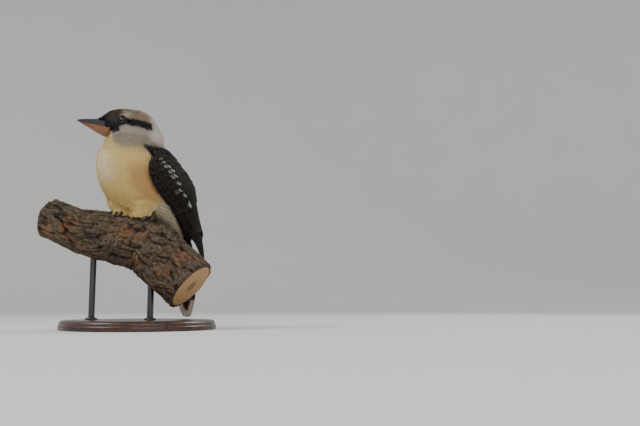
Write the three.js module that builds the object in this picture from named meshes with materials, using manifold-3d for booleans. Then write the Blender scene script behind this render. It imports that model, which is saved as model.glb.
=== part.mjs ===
// A laughing kookaburra, life size, sitting on a short cut length of branch that two rods hold above a base.
// Millimetres, +Z up. The origin is the middle of the base's underside. The body faces -Y, its left is +X.
// Inside this file the bird and its perch are built with z = 0 on top of the perch, then raised to perchTop.
import * as THREE from "three";
import { mergeVertices } from "three/addons/utils/BufferGeometryUtils.js";
import Module from "manifold-3d";

const wasm = await Module();
wasm.setup();

// Driving dimensions
const gap = 0.3; // clear space kept between two pieces that meet
const perchTop = 184; // top of the branch under the feet, above the floor
const birdBack = -8; // where the feet stand, along Y from the base's middle
const baseRadius = 122;
const baseThickness = 15;
const rodRadius = 5;
const rodPlaces = [-62, 84]; // along the branch, from the feet
const perchHeading = 26; // degrees that the branch turns from the bird's left-right line
const footSpread = 25; // each foot from the middle, along the branch
const headYaw = 30; // degrees that the head is turned to the bird's right
const neckPivotY = -8; // the upright line that the head turns about
const twistFrom = 68; // height where the neck starts to turn
const twistTo = 122; // height where it has turned in full
const eyeRadius = 7.6;
const tailLength = 125; // the part of the tail feathers that shows past the rump
const vaneThickness = 0.55;
const mergeWithin = 0.001; // corners closer than this are one

const rad = THREE.MathUtils.degToRad;
const lerp = THREE.MathUtils.lerp;
const smooth = THREE.MathUtils.smoothstep;
const vec = (x, y, z) => new THREE.Vector3(x, y, z);

// Closed meshes

// Turns corner triples into a geometry whose faces point out
function closedMesh(corners) {
  let volume = 0;
  for (let i = 0; i < corners.length; i += 3) {
    volume += corners[i].dot(corners[i + 1].clone().cross(corners[i + 2]));
  }
  if (volume < 0) {
    corners.reverse();
  }
  return new THREE.BufferGeometry().setFromPoints(corners);
}

// The sides between rings of points, with a fan over each end
function skinOf(rings) {
  const corners = [];
  const count = rings[0].length;
  for (let i = 0; i + 1 < rings.length; i++) {
    for (let j = 0; j < count; j++) {
      const k = (j + 1) % count;
      corners.push(rings[i][j], rings[i][k], rings[i + 1][k]);
      corners.push(rings[i][j], rings[i + 1][k], rings[i + 1][j]);
    }
  }
  const ends = [rings[0].slice().reverse(), rings[rings.length - 1]];
  for (const ring of ends) {
    const middle = vec(0, 0, 0);
    ring.forEach((point) => middle.addScaledVector(point, 1 / count));
    for (let j = 0; j < count; j++) {
      corners.push(middle, ring[j], ring[(j + 1) % count]);
    }
  }
  return closedMesh(corners);
}

// A thin plate between two matching grids of points, split into triangles alike on both faces
function plateOf(front, back) {
  const corners = [];
  const last = front.length - 1;
  const side = front[0].length - 1;
  const quad = (a, b, c, d) => corners.push(a, b, c, a, c, d);
  for (let i = 0; i < last; i++) {
    for (let j = 0; j < side; j++) {
      quad(front[i][j], front[i][j + 1], front[i + 1][j + 1], front[i + 1][j]);
      corners.push(back[i][j], back[i + 1][j + 1], back[i][j + 1]);
      corners.push(back[i][j], back[i + 1][j], back[i + 1][j + 1]);
    }
    quad(front[i][0], front[i + 1][0], back[i + 1][0], back[i][0]);
    quad(front[i + 1][side], front[i][side], back[i][side], back[i + 1][side]);
  }
  for (let j = 0; j < side; j++) {
    quad(front[0][j + 1], front[0][j], back[0][j], back[0][j + 1]);
    quad(front[last][j], front[last][j + 1], back[last][j + 1], back[last][j]);
  }
  return closedMesh(corners);
}

// A round tube through points, each with its own radius
function tubeOf(points, radii, sides) {
  const path = new THREE.CatmullRomCurve3(points);
  const rings = points.map((point, i) => {
    const along = path.getTangent(i / (points.length - 1));
    const across = vec(0.31, 0.17, 0.93).cross(along).normalize();
    const up = along.clone().cross(across);
    const ring = [];
    for (let j = 0; j < sides; j++) {
      const turn = (2 * Math.PI * j) / sides;
      const spoke = across.clone().multiplyScalar(Math.cos(turn)).addScaledVector(up, Math.sin(turn));
      ring.push(point.clone().addScaledVector(spoke, radii[i]));
    }
    return ring;
  });
  return skinOf(rings);
}

// Solids

function solidOf(geometry) {
  const bare = geometry.clone();
  bare.deleteAttribute("normal");
  bare.deleteAttribute("uv");
  const merged = mergeVertices(bare, mergeWithin);
  const mesh = new wasm.Mesh({
    numProp: 3,
    vertProperties: new Float32Array(merged.attributes.position.array),
    triVerts: new Uint32Array(merged.index.array),
  });
  return new wasm.Manifold(mesh);
}

// A ball, stretched to three radii and placed
function ballOf(radii, place, detail) {
  const ball = new THREE.SphereGeometry(1, detail, Math.round(detail * 0.7));
  ball.scale(radii.x, radii.y, radii.z);
  ball.translate(place.x, place.y, place.z);
  return solidOf(ball);
}

// A block that fills everything past a plane
function blockPast(point, direction) {
  const size = 700;
  const block = new THREE.BoxGeometry(size, size, size);
  block.translate(0, 0, size / 2);
  block.applyQuaternion(new THREE.Quaternion().setFromUnitVectors(vec(0, 0, 1), direction));
  block.translate(point.x, point.y, point.z);
  return solidOf(block);
}

// What lies past a cut, or past it by a shift
const past = (cut, shift) => blockPast(cut.at.clone().addScaledVector(cut.direction, shift), cut.direction);

function joined(solids) {
  return solids.reduce((all, next) => all.add(next));
}

function geometryOf(solid) {
  const found = solid.getMesh();
  const geometry = new THREE.BufferGeometry();
  geometry.setAttribute("position", new THREE.BufferAttribute(new Float32Array(found.vertProperties), 3));
  geometry.setIndex(new THREE.BufferAttribute(new Uint32Array(found.triVerts), 1));
  return geometry;
}

// The largest closed surface of a solid: loose scraps are dropped and hollows sealed inside are filled
function largestOf(solid) {
  const surfaces = solidOf(geometryOf(solid)).decompose();
  return surfaces.reduce((best, next) => (next.volume() > best.volume() ? next : best));
}

// The body as ribs in the middle plane, from tail root to bill: a low and a high point (y, z), the half-width
// and how far up the rib it is widest. The ribs fan round the throat, as the head's sections do.
const bodyRibs = [
  { low: [88, -45], high: [103, -38], half: 13, widest: 0.5 },
  { low: [82, -42], high: [102.5, -17], half: 22, widest: 0.5 },
  { low: [64, -33], high: [99, 8], half: 33, widest: 0.5 },
  { low: [39, -16], high: [95, 32], half: 44, widest: 0.5 },
  { low: [8, 1], high: [90.5, 54], half: 52, widest: 0.48 },
  { low: [-22, 7], high: [79, 71], half: 55, widest: 0.46 },
  { low: [-46, 21], high: [63.5, 87], half: 55, widest: 0.45 },
  { low: [-61, 41], high: [50, 98.5], half: 52.5, widest: 0.45 },
  { low: [-69, 62], high: [43, 107.5], half: 49, widest: 0.45 },
  { low: [-70.5, 79], high: [38.5, 117.5], half: 44.5, widest: 0.46 },
  { low: [-67.5, 95], high: [35, 127], half: 40.5, widest: 0.48 },
  { low: [-62.5, 107], high: [30.5, 135.5], half: 36.5, widest: 0.5 },
  { low: [-58, 116.5], high: [25, 144.5], half: 34, widest: 0.5 },
  { low: [-54.5, 122], high: [19.5, 153.3], half: 32, widest: 0.5 },
  { low: [-54, 123.7], high: [11, 162], half: 31, widest: 0.5 },
  { low: [-54.3, 124.5], high: [-1, 167.5], half: 30, widest: 0.5 },
  { low: [-54.8, 125.1], high: [-17, 169], half: 29, widest: 0.5 },
  { low: [-55.6, 125.6], high: [-33, 168.6], half: 26.5, widest: 0.5 },
  { low: [-56.6, 126], high: [-47, 165], half: 22.5, widest: 0.5 },
  { low: [-57.8, 126.3], high: [-56, 159], half: 18, widest: 0.5 },
  { low: [-59, 126.5], high: [-60, 149.5], half: 13.5, widest: 0.5 },
];

// The folded wings lie on the flanks, and past the rump they keep on along ribs of their own to the wing tips
const wingRibs = [
  { low: [119, -90], high: [129, -80], half: 19, widest: 0.12 },
  { low: [107, -74], high: [125, -56], half: 26, widest: 0.14 },
  { low: [91, -56], high: [118, -26], half: 31, widest: 0.16 },
  { low: [73, -37], high: [108, 4], half: 37, widest: 0.17 },
  { low: [48, -20], high: [99, 31], half: 44.5, widest: 0.31 },
  ...bodyRibs.slice(4, 12),
];

function loftOf(ribs) {
  const lows = ribs.map((rib) => vec(rib.half, rib.low[0], rib.low[1]));
  const highs = ribs.map((rib) => vec(rib.widest, rib.high[0], rib.high[1]));
  return {
    last: ribs.length - 1,
    low: new THREE.CatmullRomCurve3(lows, false, "catmullrom", 0.5),
    high: new THREE.CatmullRomCurve3(highs, false, "catmullrom", 0.5),
  };
}

const body = loftOf(bodyRibs);
const wingSheet = loftOf(wingRibs);

// A point of a loft: along counts ribs, angle is 0 at the bird's left, 90 on the back and -90 on the belly
function flatPoint(loft, along, angle) {
  const low = loft.low.getPoint(along / loft.last);
  const high = loft.high.getPoint(along / loft.last);
  const cos = Math.cos(rad(angle));
  const sin = Math.sin(rad(angle));
  const reach = high.x + (sin > 0 ? 1 - high.x : high.x) * sin;
  const roundness = 0.92; // a little squarer than an ellipse
  const x = low.x * Math.sign(cos) * Math.abs(cos) ** roundness;
  return vec(x, lerp(low.y, high.y, reach), lerp(low.z, high.z, reach));
}

// The same, lifted off the surface along its normal
function loftPoint(loft, along, angle, lift = 0) {
  const point = flatPoint(loft, along, angle);
  if (lift === 0) {
    return point;
  }
  const step = 0.02;
  const forth = flatPoint(loft, Math.min(along + step, loft.last), angle);
  forth.sub(flatPoint(loft, Math.max(along - step, 0), angle));
  const round = flatPoint(loft, along, angle + 1).sub(flatPoint(loft, along, angle - 1));
  return point.addScaledVector(forth.cross(round).normalize(), -lift);
}

// Turns a point of the head and neck to the bird's right
function turned(point) {
  const share = smooth(point.z, twistFrom, twistTo);
  const pivot = vec(0, neckPivotY, 0);
  return point.sub(pivot).applyAxisAngle(vec(0, 0, 1), -rad(headYaw) * share).add(pivot);
}

function bodySolid(lift, first, last, stepsPerRib, sides) {
  const rings = [];
  const steps = Math.round((last - first) * stepsPerRib);
  for (let i = 0; i <= steps; i++) {
    const along = lerp(first, last, i / steps);
    const ring = [];
    for (let j = 0; j < sides; j++) {
      ring.push(turned(loftPoint(body, along, (360 * j) / sides, lift)));
    }
    rings.push(ring);
  }
  return solidOf(skinOf(rings));
}

// The branch: how far its top lies below or above the feet, and its radius, along it from the feet
const perchShape = [
  { along: -150, top: 28, radius: 33 },
  { along: -85, top: 8, radius: 36 },
  { along: -15, top: 0, radius: 42 },
  { along: 42, top: -13, radius: 45 },
  { along: 84, top: -48, radius: 45 },
  { along: 124, top: -86, radius: 42 },
];
const perchAxis = new THREE.CatmullRomCurve3(
  perchShape.map((spot, i) => {
    const next = perchShape[Math.min(i + 1, perchShape.length - 1)];
    const last = perchShape[Math.max(i - 1, 0)];
    const slope = Math.atan2(next.top - last.top, next.along - last.along);
    const under = vec(Math.sin(slope), 0, -Math.cos(slope)).multiplyScalar(spot.radius);
    return vec(spot.along, 0, spot.top).add(under).applyAxisAngle(vec(0, 0, 1), rad(perchHeading));
  }),
);
const perchRadii = new THREE.CatmullRomCurve3(perchShape.map((spot) => vec(spot.along, spot.radius, 0)));

// A point of the bark. share runs from end to end, angle is 90 on top and 0 at the front
function barkPoint(share, angle, lift = 0) {
  const middle = perchAxis.getPoint(share);
  const along = perchAxis.getTangent(share);
  const front = vec(Math.sin(rad(perchHeading)), -Math.cos(rad(perchHeading)), 0);
  const up = front.clone().cross(along);
  const furrows = Math.sin(rad(angle) * 9 + share * 11) * 0.8 + Math.sin(rad(angle) * 5 - share * 23) * 0.9;
  const knots = Math.sin(rad(angle) * 2 + share * 17) * 1.1;
  const radius = perchRadii.getPoint(share).y + furrows + knots + lift;
  middle.addScaledVector(front, radius * Math.cos(rad(angle)));
  return middle.addScaledVector(up, radius * Math.sin(rad(angle)));
}

// The share of the perch's length whose top lies a given way along it from the feet
function perchShare(along) {
  let low = 0;
  let high = 1;
  for (let i = 0; i < 24; i++) {
    const half = (low + high) / 2;
    const point = barkPoint(half, 90).applyAxisAngle(vec(0, 0, 1), -rad(perchHeading));
    if (point.x < along) {
      low = half;
    } else {
      high = half;
    }
  }
  return (low + high) / 2;
}

function perchSolid(lift) {
  const rings = [];
  const steps = 17;
  const sides = 20;
  for (let i = 0; i <= steps; i++) {
    const ring = [];
    for (let j = 0; j < sides; j++) {
      ring.push(barkPoint(i / steps, (360 * j) / sides, lift));
    }
    rings.push(ring);
  }
  return solidOf(skinOf(rings));
}

// Feet: three toes forward, of which two are joined at the root, and one back, wrapped on the bark
const toes = [
  { name: "inner", length: 20, spread: -9, forward: 1 },
  { name: "middle", length: 29, spread: 0, forward: 1 },
  { name: "outer", length: 25, spread: 6, forward: 1 },
  { name: "hind", length: 17, spread: 1, forward: -1 },
];
const toeRadius = 2.7;
const toeThinning = 0.25; // a toe's tip is this share thinner than its root
const toeJoint = 0.35; // how far each joint swells
const toeShift = 2.2; // the joined toes start this far aside of the foot's middle
const toeClearance = 4.4; // room between the belly and the toes' tops
const clawLength = 10;

// A point above the bark beside a foot: reach is measured round the bark from the top of the perch
function footPoint(side, reach, aside, height) {
  const share = perchShare(side * footSpread + aside);
  const radius = perchRadii.getPoint(share).y;
  return barkPoint(share, 90 - THREE.MathUtils.radToDeg(reach / radius), height);
}

// The level at which the foot ends and the leg begins
function ankleCut(side) {
  return { at: footPoint(side, 0, 0, 8), direction: vec(0, 0, 1) };
}

function footSolid(side, extra) {
  const pieces = [];
  for (const toe of toes) {
    const shift = toe.forward > 0 ? Math.sign(toe.spread) * toeShift : 0;
    const points = [];
    const radii = [];
    const steps = 4;
    for (let i = 0; i <= steps; i++) {
      const share = i / steps;
      const joint = Math.abs(Math.sin(share * Math.PI * 3)) * toeJoint;
      const radius = toeRadius * (1 - toeThinning * share) + joint;
      const aside = -side * (toe.spread * share + shift);
      points.push(footPoint(side, toe.forward * (toe.length * share), aside, radius + gap + 0.5));
      radii.push(radius + extra);
    }
    pieces.push(solidOf(tubeOf(points, radii, 5)));
    const claw = [];
    const clawRadii = [];
    for (let i = 0; i <= 3; i++) {
      const share = i / 3;
      const reach = toe.forward * (toe.length - 1.5 + clawLength * share);
      const aside = -side * (toe.spread * 1.1 + shift);
      claw.push(footPoint(side, reach, aside, 2.6 + 1.6 * Math.sin(share * Math.PI) - 1.3 * share * share));
      clawRadii.push(lerp(1.7, 0.35, share) + extra);
    }
    pieces.push(solidOf(tubeOf(claw, clawRadii, 4)));
  }
  const heel = footPoint(side, 0, 0, 3.6);
  pieces.push(ballOf(vec(4.6 + extra, 4.8 + extra, 3.4 + extra), heel, 8));
  const shin = heel.clone().add(vec(0, 0, 9));
  pieces.push(solidOf(tubeOf([heel, shin], [3.6 + extra, 3.3 + extra], 7)));
  return joined(pieces).subtract(past(ankleCut(side), extra));
}

// The leg: a feathered drumstick in the belly, from the ankle up
function legSolid(side, extra) {
  const ankle = footPoint(side, 0, 0, 5);
  const knee = vec(side * 27, ankle.y - 4, 36 + extra);
  const middle = ankle.clone().lerp(knee, 0.4);
  const drumstick = solidOf(tubeOf([ankle, middle, knee], [3.4 + extra, 6 + extra, 9 + extra], 12));
  return drumstick.intersect(past(ankleCut(side), gap - extra));
}

// The belly's feathers bulge over each thigh
function thighSolid(side, extra) {
  const radii = vec(20 + extra, 27 + extra, 20 + extra);
  return ballOf(radii, vec(side * 22, -9 + side * 5, 20), 14);
}

// The head's parts, in the straight frame, then turned
const eyeSpot = { along: 15.3, angle: -6, sink: 6.1 };

function eyePlace(side) {
  const point = loftPoint(body, eyeSpot.along, eyeSpot.angle, -eyeSpot.sink);
  return turned(vec(point.x * side, point.y, point.z));
}

function eyeAxis(side) {
  const out = loftPoint(body, eyeSpot.along, eyeSpot.angle, 1);
  out.sub(loftPoint(body, eyeSpot.along, eyeSpot.angle));
  out.x *= side;
  return out.applyAxisAngle(vec(0, 0, 1), -rad(headYaw)).normalize();
}

function lidRing(side) {
  const ring = new THREE.TorusGeometry(5.9, 1.5, 5, 14);
  ring.scale(1.08, 0.86, 1);
  ring.applyQuaternion(new THREE.Quaternion().setFromUnitVectors(vec(0, 0, 1), eyeAxis(side)));
  const place = eyePlace(side).addScaledVector(eyeAxis(side), 4.9);
  ring.translate(place.x, place.y, place.z);
  return solidOf(ring);
}

// The bill, as sections from its root to its tip: culmen, mouth line, underside and half-width
const billRoot = -58.8;
const billCut = {
  at: turned(vec(0, billRoot, 140)),
  direction: vec(0, -1, 0).applyAxisAngle(vec(0, 0, 1), -rad(headYaw)),
};
const billSections = [
  { y: 1, top: 150.4, mouth: 136.6, under: 121.8, half: 15 },
  { y: -8, top: 150, mouth: 138.1, under: 125.6, half: 12.6 },
  { y: -16, top: 149.4, mouth: 139.6, under: 130.2, half: 10.2 },
  { y: -24, top: 148.8, mouth: 141.1, under: 135, half: 7.7 },
  { y: -31, top: 148.1, mouth: 142.6, under: 139, half: 5.3 },
  { y: -36.5, top: 147.4, mouth: 143.9, under: 141.9, half: 3.3 },
  { y: -40, top: 146.6, mouth: 144.6, under: 143.6, half: 1.6 },
];
const hook = { y: -42.4, top: 144.4, mouth: 143.2, half: 0.6 }; // the upper bill's tip bends over the lower

function billHalf(upper) {
  const sections = upper ? [...billSections, hook] : billSections;
  const rings = sections.map((spot) => {
    const from = upper ? spot.mouth + gap / 2 : spot.mouth - gap / 2;
    const height = upper ? spot.top - from : spot.under - from;
    const ring = [];
    const steps = 10;
    for (let j = 0; j <= steps; j++) {
      const turn = (Math.PI * j) / steps;
      const rise = Math.sin(turn) ** (upper ? 0.8 : 0.9);
      ring.push(turned(vec(spot.half * Math.cos(turn), billRoot + spot.y, from + height * rise)));
    }
    return ring;
  });
  return solidOf(skinOf(rings)).intersect(past(billCut, gap));
}

function nostril(side) {
  const slit = new THREE.CylinderGeometry(0.9, 0.9, 3, 8);
  slit.rotateZ(Math.PI / 2);
  slit.scale(1, 2.6, 1);
  slit.rotateX(rad(-20));
  slit.translate(side * 9.8, billRoot - 6, 146.4);
  const place = slit.attributes.position;
  for (let i = 0; i < place.count; i++) {
    const point = turned(vec(place.getX(i), place.getY(i), place.getZ(i)));
    place.setXYZ(i, point.x, point.y, point.z);
  }
  return solidOf(slit);
}

// The mouth line runs on from the bill into the cheek as a thin slit
function mouthSlit() {
  const slit = new THREE.BoxGeometry(70, 17, 0.7);
  slit.rotateX(rad(-9));
  slit.translate(0, billRoot + 7, 135.2);
  slit.translate(0, -neckPivotY, 0);
  slit.rotateZ(-rad(headYaw));
  slit.translate(0, neckPivotY, 0);
  return solidOf(slit);
}

// Wings

// The folded wing's lower and upper edge, as angles on the wing's ribs
const wingEdges = new THREE.CatmullRomCurve3([
  vec(0, 0, 84),
  vec(1, 0, 84),
  vec(2, 0, 83),
  vec(3, -9, 81),
  vec(4, -24, 80),
  vec(5, -31, 76),
  vec(6, -24, 70),
  vec(7, -19, 60),
  vec(8, -12, 48),
  vec(9, 2, 36),
]);

// A point of the wing: along counts its ribs from the tip, across is 0 on the lower edge and 1 on the upper
function wingPoint(along, across, lift) {
  const edge = wingEdges.getPoint(Math.min(along / 9, 1));
  return loftPoint(wingSheet, along, lerp(edge.y, edge.z, across), lift);
}

// A feather's vane: a thin plate over rows from root (0) to tip (1), with a middle column for its shaft.
// place(share, aside, lift) gives a point, where aside is -1 to 1 across the vane.
function vaneOf(rows, place) {
  const columns = [-1, 0, 1];
  const face = (sign) =>
    rows.map((share) => {
      const half = (vaneThickness / 2) * (1 - 0.5 * smooth(share, 0.85, 1));
      return columns.map((aside) => place(share, aside, sign * half));
    });
  return solidOf(plateOf(face(1), face(-1)));
}

// How wide a vane is along its length, as a share of its widest: narrow at the root, with a round or
// pointed tip
function vaneWidth(share, pointed) {
  const start = pointed ? 0.62 : 0.8;
  const round = Math.sqrt(Math.max(0, 1 - ((share - start) / (1 - start)) ** 2));
  return lerp(0.6, 1, smooth(share, 0, 0.35)) * (share > start ? Math.max(round, 0.3) : 1);
}

// The place across the wing that lies a given length from another one
function wingAside(along, middle, length) {
  if (length === 0) {
    return middle;
  }
  const start = wingPoint(along, middle, 0);
  let reach = Math.sign(length) * 0.05;
  for (let i = 0; i < 4; i++) {
    reach *= Math.abs(length) / start.distanceTo(wingPoint(along, middle + reach, 0));
  }
  return middle + reach;
}

// The wing's tiers, from the innermost out. Roots and tips are places on the wing, and halves and lifts are
// in millimetres. spread() gives a value for feather k of count. pile lifts each feather more than the one
// below it, and tilt is how far a feather's lower edge stands above its middle, over the feather below.
const spread = (from, to) => (k, count) => lerp(from, to, k / (count - 1));
const peak = (ends, middle) => (k, count) => lerp(middle, ends, Math.abs((2 * k) / (count - 1) - 0.9) ** 1.6);
const wingTiers = [
  {
    name: "primaries",
    count: 6,
    root: { along: spread(4.6, 4.7), across: spread(0.1, 0.46) },
    tip: { along: peak(1.45, 0.05), across: spread(0.14, 0.84) },
    half: 5.4,
    tilt: 0.7,
    lifts: [1.35, 1.4, 1.45, 1.5],
    pile: [0.28, 0.6],
    pointed: true,
  },
  {
    name: "secondaries",
    count: 6,
    root: { along: spread(5.1, 5.3), across: spread(0.14, 0.9) },
    tip: { along: spread(3, 1.75), across: spread(0.14, 0.86) },
    half: 7.8,
    tilt: 0.7,
    lifts: [2.6, 5.4, 5.5, 5.6],
    pile: [0, 0.3],
    pointed: false,
  },
  {
    name: "greater coverts",
    count: 7,
    root: { along: spread(6.1, 6.2), across: spread(0.08, 0.92) },
    tip: { along: spread(4.5, 3.9), across: spread(0.08, 0.92) },
    half: 8.7,
    tilt: 0.95,
    lifts: [2.6, 5.5, 8.1, 8.8],
    pile: [0.05, 0.2],
    pointed: false,
    covert: true,
  },
  {
    name: "median coverts",
    count: 6,
    root: { along: spread(7.2, 7.2), across: spread(0.1, 0.9) },
    tip: { along: spread(5.8, 5.5), across: spread(0.09, 0.91) },
    half: 9,
    tilt: 0.95,
    lifts: [2.6, 5.5, 7.3, 8.6],
    pile: [0, 0.1],
    pointed: false,
  },
  {
    name: "lesser coverts",
    count: 5,
    root: { along: spread(8.3, 8.3), across: spread(0.12, 0.88) },
    tip: { along: spread(6.9, 6.7), across: spread(0.09, 0.91) },
    half: 8.2,
    tilt: 0.95,
    lifts: [2.6, 5.5, 7, 8.2],
    pile: [0, 0.1],
    pointed: false,
  },
];
const liftShares = [0, 0.12, 0.6, 1]; // where along a vane its lifts hold
const coreLift = 4.3; // how thick the wing's arm is under the coverts

function wingVane(tier, k, side) {
  const root = { along: tier.root.along(k, tier.count), across: tier.root.across(k, tier.count) };
  const tip = { along: tier.tip.along(k, tier.count), across: tier.tip.across(k, tier.count) };
  const place = (share, aside, shift) => {
    const along = lerp(root.along, tip.along, share);
    const middle = lerp(root.across, tip.across, share);
    const half = tier.half * vaneWidth(share, tier.pointed);
    const across = wingAside(along, middle, aside * half);
    const stage = liftShares.findIndex((next) => share <= next);
    const from = liftShares[Math.max(stage - 1, 0)];
    const part = stage > 0 ? (share - from) / (liftShares[stage] - from) : 0;
    const lift = lerp(tier.lifts[Math.max(stage - 1, 0)], tier.lifts[stage], part);
    const point = wingPoint(along, across, lift + k * lerp(...tier.pile, share) - tier.tilt * aside + shift);
    point.x *= side;
    return point;
  };
  // rows lie on lines that all feathers share, so that neighbours bend alike
  const lines = [];
  for (let along = 8.4; along > 0; along -= 1) {
    const share = (root.along - along) / (root.along - tip.along);
    if (share > 0.17 && share < (tier.covert ? 0.5 : 0.8)) {
      lines.push(share);
    }
  }
  if (tier.covert) {
    lines.push(0.62);
  }
  return vaneOf([0, 0.12, ...lines, 0.87, 1], place);
}

// The wing's arm and hand, under the coverts, which all its feathers are rooted in
function wingCore(side) {
  const front = [];
  const back = [];
  const steps = 10;
  const across = 7;
  const point = (along, place, lift) => {
    const spot = wingPoint(along, place, lift);
    spot.x *= side;
    return spot;
  };
  for (let i = 0; i <= steps; i++) {
    const along = lerp(4.1, 9.1, i / steps);
    const pinch = 0.03 + 0.34 * (1 - smooth(9.5 - along, 0, 0.9));
    front.push([]);
    back.push([]);
    for (let j = 0; j <= across; j++) {
      const place = lerp(pinch, 1 - pinch, j / across);
      front[i].push(point(along, place, coreLift));
      back[i].push(point(along, place, gap));
    }
  }
  return solidOf(plateOf(front, back));
}

function wingSolid(side) {
  const feathers = wingTiers.flatMap((tier) => Array.from({ length: tier.count }, (_, k) => ({ tier, k })));
  return joined([wingCore(side), ...feathers.map(({ tier, k }) => wingVane(tier, k, side))]);
}

// Tail

// The plane that the body ends in, where the tail's root meets it
const rumpEnd = (() => {
  const { low, high } = bodyRibs[0];
  const at = vec(0, (low[0] + high[0]) / 2, (low[1] + high[1]) / 2);
  return { at, direction: vec(0, high[1] - low[1], low[0] - high[0]).normalize() };
})();

// A point of the tail: aside is along X, down runs from the root to the tip, depth is towards the back
function tailPoint(aside, down, depth) {
  const back = 8 * smooth(down, -12, 90);
  return vec(aside, rumpEnd.at.y + back + depth, rumpEnd.at.z - down);
}

// The tail's layers. Each vane gives its middle, half-width, depth, and where it starts and ends
const tailFeathers = [];
for (const side of [1, -1]) {
  const layer = side > 0 ? 0 : 1;
  tailFeathers.push({ aside: side * 2.5, half: 11, depth: 3.3 - layer, from: 4, to: tailLength });
  for (let n = 2; n <= 6; n++) {
    const aside = side * (4.2 + 2.1 * n);
    const to = tailLength - 0.55 * n * n + 1;
    tailFeathers.push({ aside, half: 7.2, depth: 3.3 - n, from: 4, to });
  }
}
const tailCoverts = [
  { outward: 1, count: 5, width: 22, half: 6.4, depth: 8.2, from: 1, to: 46 },
  { outward: -1, count: 5, width: 22, half: 6.6, depth: 8.2, from: 1, to: 64 },
];
const vaneStep = 0.97; // from one layer of the tail's vanes to the next

function tailVane({ aside, half, depth, from, to, rootDepth = depth }) {
  const place = (share, across, shift) => {
    const down = lerp(from, to, share);
    const middle = aside * lerp(0.5, 1, smooth(share, 0, 0.9));
    const wide = half * vaneWidth(share, false);
    const sunk = lerp(rootDepth, depth, smooth(down, from, from + 14));
    return tailPoint(middle + across * wide, down, sunk + shift);
  };
  return vaneOf([0, 0.14, 0.45, 0.85, 1], place);
}

function tailSolid() {
  const rings = [-8, 0, 8, 17].map((down) => {
    const ring = [];
    const sides = 16;
    for (let j = 0; j < sides; j++) {
      const turn = (2 * Math.PI * j) / sides;
      const half = lerp(12.4, 13.5, down / 17);
      const deep = 5 * Math.sign(Math.sin(turn)) * Math.abs(Math.sin(turn)) ** 0.6;
      ring.push(tailPoint(half * Math.cos(turn), down, deep));
    }
    return ring;
  });
  const vanes = tailFeathers.map(tailVane);
  for (const tier of tailCoverts) {
    for (let k = 0; k < tier.count; k++) {
      const aside = lerp(-tier.width / 2, tier.width / 2, k / (tier.count - 1));
      const below = Math.round(2 * Math.abs(k - (tier.count - 1) / 2 + 0.25) - 0.5);
      const depth = tier.outward * (tier.depth - vaneStep * below);
      const to = tier.to - 2.5 * below;
      const rootDepth = tier.outward * 3;
      vanes.push(tailVane({ aside, half: tier.half, depth, rootDepth, from: tier.from, to }));
    }
  }
  return joined([solidOf(skinOf(rings)), ...vanes]).intersect(past(rumpEnd, gap));
}

// Stand

function baseSolid() {
  const bevel = 6; // the top edge slopes in by this much
  const profile = [
    new THREE.Vector2(0, 0),
    new THREE.Vector2(baseRadius, 0),
    new THREE.Vector2(baseRadius, baseThickness / 2),
    new THREE.Vector2(baseRadius - bevel, baseThickness),
    new THREE.Vector2(0, baseThickness),
  ];
  const sectors = 52;
  const base = new THREE.LatheGeometry(profile, sectors);
  base.rotateX(Math.PI / 2);
  return solidOf(base);
}

const socketDepth = 7; // how far each rod goes into the base and into the perch

function rodSpot(along) {
  const share = perchShare(along);
  const under = barkPoint(share, -90);
  return { x: under.x, y: under.y + birdBack, top: under.z + perchTop + socketDepth };
}

// A rod, or the room for it, with its place given from an origin
function rodSolid(along, extra, origin) {
  const spot = rodSpot(along);
  const bottom = baseThickness - socketDepth - extra;
  const height = spot.top + extra - bottom;
  const rod = new THREE.CylinderGeometry(rodRadius + extra, rodRadius + extra, height, 20);
  rod.rotateX(Math.PI / 2);
  rod.translate(spot.x - origin.x, spot.y - origin.y, bottom + height / 2 - origin.z);
  return solidOf(rod);
}

// Parts

const finishes = {
  cream: { color: 0xd8c3a0, roughness: 0.95, metalness: 0 },
  brown: { color: 0x2a211d, roughness: 0.85, metalness: 0 },
  maroon: { color: 0x2b1c1a, roughness: 0.85, metalness: 0 },
  blackHorn: { color: 0x1c1d20, roughness: 0.4, metalness: 0 },
  paleHorn: { color: 0xb98a52, roughness: 0.45, metalness: 0 },
  eye: { color: 0x1a0f08, roughness: 0.05, metalness: 0 },
  scale: { color: 0x5f5a4c, roughness: 0.6, metalness: 0 },
  bark: { color: 0x4a3d33, roughness: 0.95, metalness: 0 },
  wood: { color: 0x3a2418, roughness: 0.4, metalness: 0 },
  rod: { color: 0x2c2c2e, roughness: 0.35, metalness: 0.6 },
};

const model = new THREE.Group();
const bird = new THREE.Group();
bird.position.set(0, birdBack, perchTop);
model.add(bird);

function addPart(name, solid, finish, parent = bird) {
  const geometry = geometryOf(largestOf(solid));
  geometry.computeVertexNormals();
  const mesh = new THREE.Mesh(geometry, new THREE.MeshStandardMaterial(finishes[finish]));
  mesh.name = name;
  parent.add(mesh);
}

const sides = [
  { name: "left", sign: 1 },
  { name: "right", sign: -1 },
];

// The whole body is parted with two thin cuts, under the chin and at the foot of the neck
const chinCut = { at: vec(0, 0, 121.6), direction: vec(0, 0, 1) };
const neckCut = { at: vec(0, -60, 106), direction: vec(0, 10, 105).normalize() };

const whole = bodySolid(0, 0, 13, 2, 26);
const bodyFront = bodySolid(0, 7, 20, 2, 26);
const trunk = joined([whole, thighSolid(1, 0), thighSolid(-1, 0)]);
const perch = perchSolid(0);
const toeRoom = perchSolid(2 * toeRadius + toeClearance); // the belly clears the toes that lie on the bark

let torso = trunk.subtract(past(neckCut, -gap / 2)).subtract(toeRoom);
for (const side of sides) {
  torso = torso.subtract(legSolid(side.sign, gap));
}
addPart("torso", torso, "cream");
addPart("neck", bodyFront.intersect(past(neckCut, gap / 2)).subtract(past(chinCut, -gap / 2)), "cream");

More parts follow.
